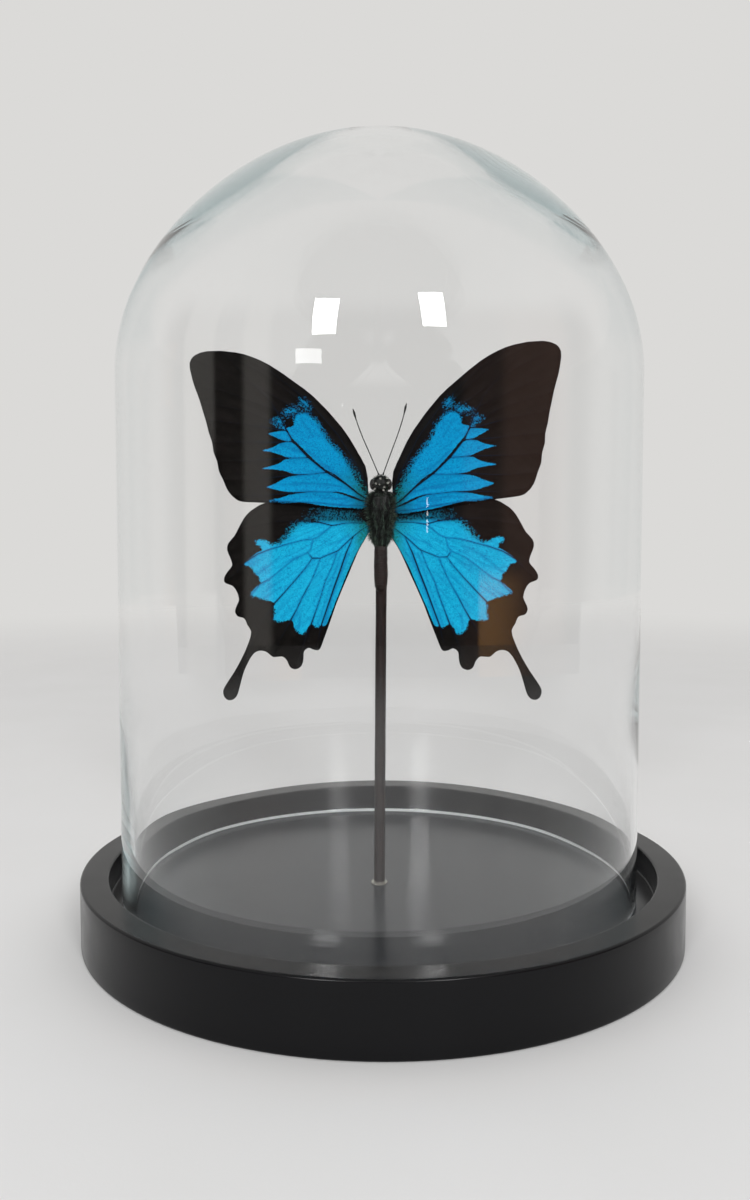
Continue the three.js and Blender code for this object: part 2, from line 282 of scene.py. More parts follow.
def wing_scales(name, blue, bright, dark_blue, teal):
    """Wing scales, laid like tiles: metallic-looking blue on matt black-brown.

    The blue breaks up into single scales at its soft edges. Real scales are 0.1 mm wide. They are
    drawn at 0.28 mm so that the grain can show.
    """
    material, tree = finish(name)
    place, fan = [add(tree, "Attribute", output="Vector", attribute_name=mark)
                  for mark in ("wing_mm", "fan")]
    depth, soft, fold, vein, root, dusk, edge = [
        add(tree, "Attribute", output="Fac", attribute_name=mark)
        for mark in ("blue", "soft", "fold", "vein", "root", "dusk", "edge")]
    tile, cell = add(tree, "TexVoronoi", {"Vector": place, "Scale": 1 / 0.28}, None)[:2]
    pick, glint = add(tree, "SeparateColor", [cell], None)[:2]

    # Blue where the depth into the patch, over the width of its soft edge, beats the scale's chance
    share = add(tree, "Math", [depth, soft], operation="DIVIDE")
    chance = add(tree, "MapRange", [pick, 0, 1, -0.9, 0.9])
    beaten = add(tree, "Math", [share, chance], operation="ADD")
    is_blue = add(tree, "MapRange", [beaten, -0.15, 0.15], **SMOOTH)

    # The blue scales: brighter and darker ones, dark along veins and folds, thin at soft edges
    sweep = add(tree, "TexNoise", {"Vector": place, "Scale": 1 / 7, "Detail": 3})
    streak = add(tree, "TexNoise", {"Vector": fan, "Scale": 1, "Detail": 3})
    scales = layered(tree, blue, [
        (add(tree, "MapRange", [glint, 0, 1, 0, 0.9]), bright),
        (add(tree, "MapRange", [pick, 0.86, 0.96, 0, 0.55], **SMOOTH), dark_blue),
        (add(tree, "MapRange", [streak, 0.45, 0.75, 0, 0.4], **SMOOTH), dark_blue),
        (add(tree, "MapRange", [sweep, 0.5, 0.8, 0, 0.3], **SMOOTH), bright),
        (add(tree, "MapRange", [fold, 0.7, 0, 0, 0.35], **SMOOTH), dark_blue),
        (add(tree, "MapRange", [vein, 0.45, 0, 0, 0.55], **SMOOTH), dark_blue),
        (faded(tree, 1.0, [share, 1.3, -0.2, 0, 0.5], [soft, 0.3, 1]), "#03283f"),
        (faded(tree, root, [pick, 0, 1, 0.5, 1.1]), teal),
        (faded(tree, dusk, [glint, 0.2, 0.9, 0.8, 1.25]), "#06161d")])

    # The black ground: brown-black with a streak along each space between veins
    ground = layered(tree, "#050403", [
        (add(tree, "MapRange", [streak, 0.3, 0.75], **SMOOTH), "#0f0c0b"),
        (add(tree, "MapRange", [glint, 0.75, 1, 0, 0.3], **SMOOTH), "#1d1815"),
        (add(tree, "MapRange", [edge, 1.1, 0.2], **SMOOTH), "#040303")])

    # Over both: bare dark veins, widest where they run out into the black, and a little dust
    dust = add(tree, "Math", [specks(tree, place, 4.5, 0.13, 0.2), specks(tree, place, 1.7, 0.07, 0.05)],
               operation="MAXIMUM")
    colour = layered(tree, ground, [
        (is_blue, scales), (add(tree, "MapRange", [vein, 0.03, -0.09], **SMOOTH), "#04101f"),
        (dust, "#a9a39b")])
    surface(tree, Base_Color=colour, IOR=1.45, Specular_IOR_Level=0.06,
            Roughness=add(tree, "MapRange", [glint, 0, 1, 0.5, 0.72]),
            Normal=add(tree, "Bump", {"Height": tile, "Distance": 0.03 * MM, "Strength": 0.5}))
    return material


def wing_underside(name):
    """The underside's scales: brown-black, paler between the veins, a row of dull buff crescents.

    Real scales are 0.1 mm wide. They are drawn at 0.3 mm so that the grain can show.
    """
    material, tree = finish(name)
    place, fan = [add(tree, "Attribute", output="Vector", attribute_name=mark)
                  for mark in ("wing_mm", "fan")]
    edge, vein = [add(tree, "Attribute", output="Fac", attribute_name=mark) for mark in ("edge", "vein")]
    tile, cell = add(tree, "TexVoronoi", {"Vector": place, "Scale": 1 / 0.3}, None)[:2]
    glint = add(tree, "SeparateColor", [cell], 1)
    streak = add(tree, "TexNoise", {"Vector": fan, "Scale": 1, "Detail": 3})
    crescents = faded(tree, 0.7, [edge, 1.8, 2.8], [edge, 5.4, 4.2], [vein, 0.5, 1.3],
                      [glint, 0.1, 0.8, 0.35, 1])
    colour = layered(tree, "#1f1815", [
        (add(tree, "MapRange", [streak, 0.3, 0.75], **SMOOTH), "#40342d"), (crescents, "#8d7c66"),
        (add(tree, "MapRange", [vein, 0.12, -0.05], **SMOOTH), "#0f0b0a")])
    surface(tree, Base_Color=colour, IOR=1.45, Specular_IOR_Level=0.3,
            Roughness=add(tree, "MapRange", [glint, 0, 1, 0.55, 0.75]),
            Normal=add(tree, "Bump", {"Height": tile, "Distance": 0.03 * MM, "Strength": 0.5}))
    return material


# ---------------------------------------------------------------- mesh building

def piece(name, points, faces, materials, replaces=(), kinds=None):
    """A mesh object from points in millimetres, riding on the frame."""
    mesh = bpy.data.meshes.new(name)
    mesh.from_pydata((np.asarray(points, float) * MM).tolist(), [], faces)
    mesh.polygons.foreach_set("use_smooth", [True] * len(mesh.polygons))
    for material in materials:
        mesh.materials.append(material)
    if kinds is not None:
        mesh.polygons.foreach_set("material_index", kinds)
    mesh.update()
    made = bpy.data.objects.new(name, mesh)
    bpy.context.scene.collection.objects.link(made)
    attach(made, "root")
    if replaces:
        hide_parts(*replaces)
    return made


def mark(made, name, values, kind="FLOAT"):
    """Stores a value, or a vector, at every point of a mesh."""
    data = np.asarray(values, np.float32)
    field = "value" if kind == "FLOAT" else "vector"
    made.data.attributes.new(name, kind, "POINT").data.foreach_set(field, data.ravel())


def turned(profile, segments, closed=False):
    """Points and faces of a [radius, height] profile turned about +Z. A zero radius is a pole."""
    points, rows, faces = [], [], []
    angles = np.arange(segments) * 2 * math.pi / segments
    for r, z in profile:
        if r < 1e-6:
            rows.append([len(points)] * segments)
            points.append((0, 0, z))
        else:
            rows.append(list(range(len(points), len(points) + segments)))
            points += [(r * math.cos(a), r * math.sin(a), z) for a in angles]
    pairs = list(zip(rows, rows[1:])) + ([(rows[-1], rows[0])] if closed else [])
    for low, high in pairs:
        for i in range(segments):
            j = (i + 1) % segments
            corners = [low[i], low[j], high[j], high[i]]
            faces.append(list(dict.fromkeys(corners)))
    return np.array(points, float), [f for f in faces if len(f) > 2]


def along_curve(points, count):
    """A smooth run of count places through a few points, evenly spaced by their index."""
    p = np.array(points, float)
    p = np.vstack([2 * p[0] - p[1], p, 2 * p[-1] - p[-2]])
    spots = np.linspace(0, len(points) - 1, count)
    made = []
    for s in spots:
        i = min(int(s), len(points) - 2)
        t = s - i
        a, b, c, d = p[i:i + 4]
        made.append(0.5 * (2 * b + (c - a) * t + (2 * a - 5 * b + 4 * c - d) * t ** 2
                           + (3 * b - a - 3 * c + d) * t ** 3))
    return np.array(made)


def tube(path, radii, sides):
    """Points and faces of a closed round tube along a path, its ends drawn to a point."""
    path, radii = np.asarray(path, float), np.asarray(radii, float)
    tangents = np.gradient(path, axis=0)
    tangents /= np.linalg.norm(tangents, axis=1)[:, None]
    side = np.cross(tangents[0], (0.3, 1, 0.2))
    points, faces = [], []
    for centre, tangent, radius in zip(path, tangents, radii):
        side = side - tangent * side.dot(tangent)
        side /= np.linalg.norm(side)
        other = np.cross(tangent, side)
        for k in range(sides):
            a = 2 * math.pi * k / sides
            points.append(centre + radius * (math.cos(a) * side + math.sin(a) * other))
    for row in range(len(path) - 1):
        for k in range(sides):
            n = (k + 1) % sides
            a, b = row * sides, (row + 1) * sides
            faces.append([a + k, a + n, b + n, b + k])
    first, last = len(points), len(points) + 1
    points += [path[0] - tangents[0] * radii[0] * 0.5, path[-1] + tangents[-1] * radii[-1] * 0.5]
    end = (len(path) - 1) * sides
    for k in range(sides):
        n = (k + 1) % sides
        faces += [[first, n, k], [last, end + k, end + n]]
    return np.array(points), faces


def joined(parts):
    """Several (points, faces) as one."""
    points, faces, start = [], [], 0
    for p, f in parts:
        points.append(np.asarray(p))
        faces += [[start + i for i in face] for face in f]
        start += len(p)
    return np.vstack(points), faces


def round_corner(r, z, radius, start, count):
    """A quarter round about (r, z), from an angle in degrees."""
    angles = np.radians(np.linspace(start, start + 90, count))
    return [(r + radius * math.cos(a), z + radius * math.sin(a)) for a in angles]


def ball(rings, segments):
    """Points and faces of a ball one millimetre in radius, about the origin."""
    latitudes = [math.pi * (i / rings - 0.5) for i in range(rings + 1)]
    profile = [(math.cos(a), math.sin(a)) for a in latitudes]
    profile[0], profile[-1] = (0, -1), (0, 1)
    return turned(profile, segments)


def xyz(x, y, z):
    """Places from three runs of numbers. Any of them may be one number for all."""
    return np.stack(np.broadcast_arrays(x, y, z), -1).astype(float)


# ---------------------------------------------------------------- base, dome, rod and glue

def base():
    """The turned base: eased edges, a raised rim, a sunk floor and the rod's hole."""
    foot, outer, inner, cove = 0.8, 0.7, 0.6, 0.6
    profile = [(0, 0), (BASE_RADIUS - 6, 0)]
    profile += round_corner(BASE_RADIUS - foot, foot, foot, -90, 6)
    profile += [(BASE_RADIUS, z) for z in np.linspace(3, BASE_HEIGHT - 3, 5)]
    profile += round_corner(BASE_RADIUS - outer, BASE_HEIGHT - outer, outer, 0, 8)
    profile += round_corner(FLOOR_RADIUS + inner, BASE_HEIGHT - inner, inner, 90, 6)
    # The cove where the rim's wall meets the floor, where paint gathers
    profile += round_corner(FLOOR_RADIUS - cove, FLOOR_Z + cove, cove, -90, 5)[::-1]
    profile += [(r, FLOOR_Z) for r in (60, 45, 30, 15, 0)]
    points, faces = turned(profile, 160)
    made = piece("turned_base", points, faces, [black_satin_paint()], ["base"])

    bit_radius, bit_length = ROD_RADIUS + 0.3, 20
    points, faces = turned([(0, 0), (bit_radius, 0), (bit_radius, bit_length), (0, bit_length)], 32)
    points += (ROD_X, ROD_Y, FLOOR_Z - HOLE_DEPTH)
    bit_mesh = bpy.data.meshes.new("drill_bit")
    bit_mesh.from_pydata((points * MM).tolist(), [], faces)
    bit = bpy.data.objects.new("drill_bit", bit_mesh)
    bpy.context.scene.collection.objects.link(bit)
    drill = made.modifiers.new("rod_hole", "BOOLEAN")
    drill.object, drill.operation, drill.solver = bit, "DIFFERENCE", "EXACT"
    bpy.context.view_layer.update()
    drilled = bpy.data.meshes.new_from_object(made.evaluated_get(bpy.context.evaluated_depsgraph_get()))
    # Level faces are shaded flat, so that the floor stays even up to the hole's edge
    for face in drilled.polygons:
        face.use_smooth = abs(face.normal.z) < 0.999
    made.modifiers.clear()
    made.data = drilled
    bpy.data.objects.remove(bit)


def wall_at(height, angle):
    """The wall's thickness at heights up the dome, at an angle round it from its right side."""
    knots = np.arange(WALL_LEFT[0][0], WALL_LEFT[-1][0] + 1, 1.0)
    ease = np.hanning(13) / np.hanning(13).sum()
    walls = []
    for table in (WALL_REST, WALL_RIGHT if math.cos(angle) > 0 else WALL_LEFT):
        plain = np.interp(knots, *np.array(table).T)
        eased = np.convolve(np.pad(plain, len(ease) // 2, mode="edge"), ease, mode="valid")
        walls.append(np.interp(height, knots, eased))
    rest, side = walls
    return rest + (side - rest) * math.cos(angle) ** 4


def dome():
    """The blown bell: drawn thin up the side, gathered thick at the shoulder, its foot melted round."""
    segments = 192
    shoulder_z = DOME_TOP_Z - CAP_HEIGHT
    skin = [(DOME_RADIUS, z) for z in np.linspace(DOME_FOOT_Z + 1.2, shoulder_z, 60)[:-1]]
    for angle in np.linspace(0, math.pi / 2, 49):
        pull = 1 - CAP_FLATNESS * math.sin(2 * angle) ** 2
        skin.append((DOME_RADIUS * math.cos(angle) * pull,
                     shoulder_z + CAP_HEIGHT * math.sin(angle) * pull))
    skin[-1] = (0.0, DOME_TOP_Z)
    r, z = np.array(skin).T
    along = np.stack([np.gradient(r), np.gradient(z)])
    along /= np.linalg.norm(along, axis=0)
    along[:, -1] = (-1, 0)

    outer, inner = [], []
    for angle in np.arange(segments) * 2 * math.pi / segments:
        wall = wall_at(z, angle)
        r_in, z_in = r - wall * along[1], z + wall * along[0]
        outer.append(xyz(r * math.cos(angle) + DOME_X, r * math.sin(angle), z))
        inner.append(xyz(r_in * math.cos(angle) + DOME_X, r_in * math.sin(angle), z_in))
    outer, inner = np.array(outer), np.array(inner)

    # The foot: a half round between the two skins
    bends = np.radians(np.linspace(0, -180, 13))[1:-1]
    middle, half = (outer[:, 0] + inner[:, 0]) / 2, (outer[:, 0] - inner[:, 0]) / 2
    drop = np.array((0, 0, z[0] - DOME_FOOT_Z))
    foot = [middle + half * math.cos(b) + drop * math.sin(b) for b in bends]
    rings = [outer[:, k] for k in range(len(r) - 2, -1, -1)] + foot
    rings += [inner[:, k] for k in range(len(r) - 1)]
    points = np.vstack(rings + [[outer[0, -1]], [inner[:, -1].mean(0)]])
    faces = []
    for k in range(len(rings) - 1):
        for i in range(segments):
            j = (i + 1) % segments
            a, b = k * segments, (k + 1) * segments
            faces.append([a + i, b + i, b + j, a + j])
    crown, ceiling, last = len(points) - 2, len(points) - 1, (len(rings) - 1) * segments
    for i in range(segments):
        j = (i + 1) % segments
        faces += [[crown, i, j], [ceiling, last + j, last + i]]
    first_ground, ground_rows = (len(r) - 1) * segments, 10
    kinds = [int(0 <= at - first_ground < ground_rows * segments) for at in range(len(faces))]
    made = piece("blown_dome", points, faces, [blown_glass(), ground_glass()], ["dome"],
                 kinds=kinds)
    # Light for the insect passes straight through, as it would through a wall this thin
    made.visible_shadow = False
    made.visible_diffuse = False


def on_rod(points):
    """Moves points about +Z, from the floor up, on to the rod's leaning axis."""
    lean = math.radians(ROD_LEAN)
    x, y, z = np.asarray(points, float).T
    return xyz(x * math.cos(lean) + z * math.sin(lean) + ROD_X, y + ROD_Y,
               z * math.cos(lean) - x * math.sin(lean) + FLOOR_Z)


def rod():
    """The stick that carries the insect: not quite round, its ends a little worn."""
    bottom, top = -HOLE_DEPTH + 0.3, ROD_TOP_Z - FLOOR_Z
    heights = np.linspace(bottom, top, 70)
    # A split and shaved stick is never quite even
    radii = ROD_RADIUS * (1.05 + 0.015 * np.sin(heights * 0.31) * np.cos(heights * 0.083))
    profile = [(0, bottom), (ROD_RADIUS * 0.9, bottom), *zip(radii[:-1], heights[:-1])]
    profile += [(radii[-1], top - 0.1), (ROD_RADIUS * 0.93, top), (0, top)]
    points, faces = turned(profile, 36)
    angle = np.arctan2(points[:, 1], points[:, 0])
    points[:, :2] *= (1 - 0.012 * (1 + np.sin(3 * angle + points[:, 2] * 0.02)))[:, None]
    piece("stained_rod", on_rod(points), faces, [stained_stick()], ["rod"])


def glue():
    """A bead of glue where the rod leaves the floor, and a dab at its top."""
    clear = clear_glue()
    # The bead round the rod's foot, slumped a little unevenly
    inside, width, height = ROD_RADIUS + 0.1, 0.85, 0.75
    profile = [(inside, 0.02), (inside + width, 0.02)]
    profile += [(inside + width * math.cos(a) ** 0.8, height * math.sin(a))
                for a in np.radians(np.linspace(12, 78, 9))]
    profile += [(inside, height * 1.02)]
    points, faces = turned(profile, 48, closed=True)
    angle = np.arctan2(points[:, 1], points[:, 0])
    out = np.hypot(points[:, 0], points[:, 1]) - inside
    slump = 1 + 0.05 * out * np.sin(2 * angle + 0.6) + 0.03 * out * np.sin(5 * angle)
    points[:, :2] *= slump[:, None]
    points += (ROD_X, ROD_Y, FLOOR_Z + 0.08)
    piece("glue_bead", points, faces, [clear], ["foot_glue"])

    # The dab that holds the thorax to the rod
    points, faces = ball(18, 24)
    swell = 1 + 0.07 * np.sin(4.1 * points[:, 0] + 2 * points[:, 2]) * np.cos(3.3 * points[:, 1])
    points = points * swell[:, None] * (1.65, 1.0, 2.35) + (-0.3, BODY_Y + 3.25, 115.4)
    piece("glue_dab", points, faces, [clear], ["body_glue"])


# ---------------------------------------------------------------- the body

# Thorax: [half-width, height] from its hind end to the neck
THORAX = [
    (0, 109.2), (1.5, 109.5), (2.1, 110.5), (2.3, 112.3), (2.35, 114.3), (2.7, 115.9), (3.2, 117.7),
    (3.4, 119.5), (3.2, 121.3), (2.6, 122.4), (1.6, 122.8), (0, 122.9),
]


def thorax_radius(z):
    """The thorax's half-width at a height."""
    return np.interp(z, [p[1] for p in THORAX], [p[0] for p in THORAX])


def thorax():
    """The thorax shell: a front and a hind plate, with the seam between them."""
    profile = [(max(r, 0), z) for r, z in along_curve(THORAX, 60)]
    profile[0], profile[-1] = (0, profile[0][1]), (0, profile[-1][1])
    points, faces = turned(profile, 56)
    points[:, 1] *= BODY_DEPTH
    points += (BODY_X, BODY_Y, 0)
    inward = points - (BODY_X, BODY_Y, 0)
    inward[:, 2] = 0
    for seam_z, depth, width in ((115.3, 0.16, 0.35), (112.6, 0.1, 0.25), (121.6, 0.12, 0.3)):
        groove = depth * np.exp(-((points[:, 2] - seam_z) / width) ** 2)
        points = points - inward * (groove / np.maximum(np.linalg.norm(inward, axis=1), 1))[:, None]
    # The line down the middle of the back
    points[:, 1] += 0.1 * np.exp(-(inward[:, 0] / 0.22) ** 2) * (inward[:, 1] < 0)
    cuticle = insect_cuticle("black_cuticle", "#050605", "#101312")
    piece("thorax_shell", points, faces, [cuticle], ["thorax"])
    return cuticle


def hair_patch(roots, directions, lengths, combed, width, shades=None):
    """Points, faces and marks of many tapered three-sided hairs, bent over by the combing."""
    rows, sides = 4, 3
    count = len(roots)
    directions = directions / np.linalg.norm(directions, axis=1)[:, None]
    side = np.cross(directions, random.normal(size=(count, 3)))
    side /= np.linalg.norm(side, axis=1)[:, None]
    other = np.cross(directions, side)
    points = np.zeros((count, rows * sides, 3))
    share = np.linspace(0, 1, rows)
    for k, s in enumerate(share):
        centre = roots + directions * (lengths * s)[:, None] + combed * (lengths * s ** 2)[:, None]
        radius = width * (1 - 0.85 * s)
        for m in range(sides):
            a = 2 * math.pi * m / sides
            points[:, k * sides + m] = centre + radius * (math.cos(a) * side + math.sin(a) * other)
    quads = []
    for k in range(rows - 1):
        for m in range(sides):
            n = (m + 1) % sides
            quads.append([k * sides + m, k * sides + n, (k + 1) * sides + n, (k + 1) * sides + m])
    base_index = np.arange(count)[:, None, None] * rows * sides
    faces = (np.array(quads)[None] + base_index).reshape(-1, 4).tolist()
    top = (rows - 1) * sides
    faces += (np.arange(count)[:, None] * rows * sides + [top, top + 1, top + 2]).tolist()
    along = np.tile(np.repeat(share, sides), count)
    shade = np.repeat(random.random(count) if shades is None else shades, rows * sides)
    return points.reshape(-1, 3), faces, along, shade


def hairs(name, patches, material):
    """One piece of down from several hair patches."""
    points, faces = joined([(p, f) for p, f, _, _ in patches])
    made = piece(name, points, faces, [material], ())
    mark(made, "along", np.concatenate([a for _, _, a, _ in patches]))
    mark(made, "shade", np.concatenate([s for _, _, _, s in patches]))


def on_thorax(angle, z, lift):
    """Places on the thorax's skin and their outward directions; angle 0 faces the back (-Y)."""
    out = xyz(np.sin(angle), -np.cos(angle) * BODY_DEPTH, 0)
    return out * (thorax_radius(z) + lift)[:, None] + xyz(BODY_X, BODY_Y, z), out


def body_down(down):
    """Down combed back along the thorax in locks, a collar, a hind fringe, and tufts at the wings."""
    patches = []
    count = 5200
    z = random.uniform(109.5, 122.7, count)
    angle = random.uniform(-math.pi, math.pi, count)
    spot, out = on_thorax(angle, z, -0.05)
    # Locks: stripes down the back whose hair tips are paler than their neighbours', a painted glint along
    # each lock
    lock = np.sin(angle * 9 + 0.8 * np.sin(z * 1.3)) + 0.6 * np.sin(angle * 17 + z * 0.9)
    shades = np.clip(0.52 + 0.3 * lock + random.normal(scale=0.22, size=count), 0, 1)
    lift = out * 0.55 + random.normal(scale=0.2, size=out.shape) + (0, 0, -0.9)
    length = random.uniform(0.7, 1.5, count) * np.interp(z, [109.6, 112, 122.6], [0.7, 1, 0.8])
    combed = xyz(0, 0, random.uniform(-0.6, -0.2, count))
    patches.append(hair_patch(spot, lift, length, combed, 0.05, shades))

    # Collar between head and thorax
    count = 900
    angle = random.uniform(-math.pi, math.pi, count)
    z = random.uniform(121.8, 123.8, count)
    out = xyz(np.sin(angle), -np.cos(angle) * BODY_DEPTH, 0)
    spot = out * random.uniform(1.6, 2.5, count)[:, None] + xyz(BODY_X, BODY_Y, z)
    lift = out * 0.8 + random.normal(scale=0.3, size=out.shape) + (0, 0, -0.6)
    patches.append(hair_patch(spot, lift, random.uniform(0.6, 1.2, count),
                              np.tile((0, 0, -0.3), (count, 1)), 0.045))

    # Fringe round the thorax's hind end, over the abdomen's first ring
    count = 700
    angle = random.uniform(-math.pi, math.pi, count)
    z = random.uniform(109.4, 111.2, count)
    spot, out = on_thorax(angle, z, -0.1)
    lift = out * 0.35 + random.normal(scale=0.22, size=out.shape) + (0, 0, -1)
    patches.append(hair_patch(spot, lift, random.uniform(0.8, 1.5, count),
                              np.tile((0, 0, -0.2), (count, 1)), 0.045))

    # Tufts that run out from the thorax's sides over the wing roots, on back and belly
    count = 620
    tufts = [(116.4, 121.9, 0.15), (111.2, 116.6, -0.45), (119.6, 123.2, 0.85)]
    for (z_low, z_high, rise), side in [(tuft, side) for tuft in tufts for side in SIDES.values()]:
        z = random.uniform(z_low, z_high, count)
        facing = np.where(random.random(count) < 0.72, 1, -1)
        angle = side * (math.pi / 2 - facing * random.uniform(0.1, 0.75, count))
        spot, out = on_thorax(angle, z, -0.1)
        lift = xyz(side, -0.42 * facing, rise + 0.1 * (z - z.mean()))
        lift = lift + random.normal(scale=0.17, size=lift.shape)
        combed = xyz(0, 0.25 * facing, -0.12)
        patches.append(hair_patch(spot, lift, random.uniform(1.0, 2.3, count), combed, 0.05))
    hairs("thorax_down", patches, down)


def head(cuticle, down):
    """The head: a broad crown between the two eyes, palps in front, and its down."""
    middle = np.array((BODY_X, BODY_Y, HEAD_Z))
    wide, deep, high = 2.35, 2.0, 2.45
    points, faces = ball(26, 40)
    points = points * (wide, deep, high) + middle
    # A dent over the middle of the crown
    points[:, 2] -= 0.16 * np.exp(-((points[:, 0] - BODY_X) / 0.3) ** 2) * (points[:, 2] > HEAD_Z)
    parts = [(points, faces)]

    # Two palps, turned up in front of the face
    palp = np.array([(0.5, 1.7, -1.5), (0.7, 2.5, -0.7), (0.72, 2.75, 0.6), (0.65, 2.5, 1.6)])
    for out in SIDES.values():
        run = palp * (out, 1, 1) + middle
        parts.append(tube(along_curve(run, 14), 0.3 * np.linspace(1, 0.45, 14), 10))
    points, faces = joined(parts)
    piece("head_shell", points, faces, [cuticle], ["head"])

    count = 1500
    spot = random.normal(size=(count, 3))
    spot /= np.linalg.norm(spot, axis=1)[:, None]
    out = spot[np.abs(spot[:, 0]) < 0.8]  # none on the eyes
    count = len(out)
    spot = out * (wide - 0.05, deep - 0.05, high - 0.05) + middle
    lift = out + random.normal(scale=0.3, size=out.shape) + (0, 0, 0.3)
    patch = hair_patch(spot, lift, random.uniform(0.35, 0.8, count),
                       np.tile((0, -0.1, -0.2), (count, 1)), 0.045)
    hairs("head_down", [patch], down)

    # White scale tufts: a pair between the antennae, and dots behind the eyes and on the collar
    tufts = [(-0.1, 1.35), (1.6, 1.5), (-1.4, 2.0), (-1.25, 0.1), (-1.55, -1.25), (0.85, -0.8),
             (0.7, -1.5), (1.75, 0.3), (-0.35, -0.2)]
    count = 26
    patches = []
    for x, z in tufts:
        flat = 1 - (x / wide) ** 2 - (z / high) ** 2
        y = -deep * math.sqrt(max(flat, 0.05))
        centre = middle + (x, y - 0.25, z)
        spots = centre + random.normal(scale=0.1, size=(count, 3)) * (1, 0.4, 1)
        out = np.array((x / wide, y / deep, z / high))
        lift = np.tile(out, (count, 1)) + random.normal(scale=0.35, size=(count, 3))
        patches.append(hair_patch(spots, lift, random.uniform(0.3, 0.5, count),
                                  np.zeros((count, 3)), 0.05))
    hairs("scale_tufts", patches, pale_scales())


def eyes():
    """The two compound eyes, set half into the sides of the head."""
    facets = compound_eye()
    for side, out in SIDES.items():
        points, faces = ball(30, 40)
        points = points * (1.05, 1.35, 1.6) + (BODY_X + out * 2.1, BODY_Y - 0.1, HEAD_Z)
        piece(f"compound_eye_{side}", points, faces, [facets], [f"eye_{side}"])


def abdomen(down):
    """Nine overlapping rings, shrunken in drying, with short down."""
    bottom, top = [corner.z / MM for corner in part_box("abdomen")]
    length = top - bottom
    share = np.linspace(0, 1, 130)
    body_line = np.interp(share, [0, 0.03, 0.1, 0.3, 0.5, 0.68, 0.84, 0.93, 0.985, 1],
                          [0.9, 1.55, 1.76, 1.82, 1.88, 1.88, 1.74, 1.35, 0.75, 0])
    ring = (share * 8.6) % 1
    body_line = body_line * (1 - 0.035 * np.exp(-(ring / 0.1) ** 2) + 0.02 * ring)
    profile = [(0, top)] + [(r, top - s * length) for r, s in zip(body_line, share)]
    points, faces = turned(profile, 40)
    faces = [f[::-1] for f in faces]
    around = np.arctan2(points[:, 1], points[:, 0])
    points[:, :2] *= (1 - 0.02 * np.cos(5 * around + points[:, 2] * 0.6))[:, None]
    tilt = math.radians(4)
    fall = top - points[:, 2]
    points[:, 1] = points[:, 1] * math.cos(tilt) + fall * math.sin(tilt)
    points += (BODY_X, BODY_Y, 0)
    brown = insect_cuticle("brown_cuticle", "#0d0605", "#25120e", 0.7, 0.55)
    piece("abdomen_rings", points, faces, [brown], ["abdomen"])

    count = 1500
    share = random.uniform(0.02, 0.96, count)
    angle = random.uniform(-math.pi, math.pi, count)
    r = np.interp(share, [0, 0.1, 0.6, 0.85, 1], [1.6, 1.76, 1.86, 1.66, 0.3])
    out = xyz(np.sin(angle), -np.cos(angle), 0)
    fall = share * length
    spot = out * (r - 0.03)[:, None] + xyz(BODY_X, BODY_Y + fall * math.sin(tilt), top - fall)
    lift = out * 0.7 + random.normal(scale=0.25, size=out.shape) + (0, 0, -1.0)
    patch = hair_patch(spot, lift, random.uniform(0.25, 0.5, count),
                       np.tile((0, 0, -0.4), (count, 1)), 0.025)
    hairs("abdomen_down", [patch], down)
    return brown


def antennae(cuticle):
    """Each antenna: ringed shaft and a long club, from the crown of the head."""
    run = [(0, 0), (2.2, 5.5), (4.2, 10.4), (5.7, 14.6), (6.7, 18.2)]
    for side, stretch, spread in (("left", 0.97, 1.5), ("right", 1.03, -1.7)):
        out = SIDES[side]
        path = along_curve([(out * x * stretch, -0.03 * z, z * stretch) for x, z in run], 160)
        tip = path[-1] - path[-2]
        path = np.vstack([path, path[-1] + tip / np.linalg.norm(tip) * 0.6])
        share = np.linspace(0, 1, len(path))
        length = 19.5 * stretch
        shaft = 0.145 + 0.008 * np.sign(np.sin(share * length * 2 * math.pi / 0.42))
        club = 0.17 * np.exp(-((share * length - (length - 1.1)) / 1.5) ** 2)
        radii = (shaft + club) * np.clip((1.005 - share) / 0.02, 0.15, 1) ** 0.5
        radii[:6] *= np.linspace(1.9, 1.0, 6)
        turn = math.radians(out * spread)
        x, y, z = path.T
        leaned = xyz(x * math.cos(turn) + z * math.sin(turn), y,
                     z * math.cos(turn) - x * math.sin(turn))
        points, faces = tube(leaned, radii, 12)
        points += (BODY_X + out * 0.6, BODY_Y, HEAD_Z + 2.45 + 0.25)
        piece(f"antenna_ringed_{side}", points, faces, [cuticle], [f"antenna_{side}"])


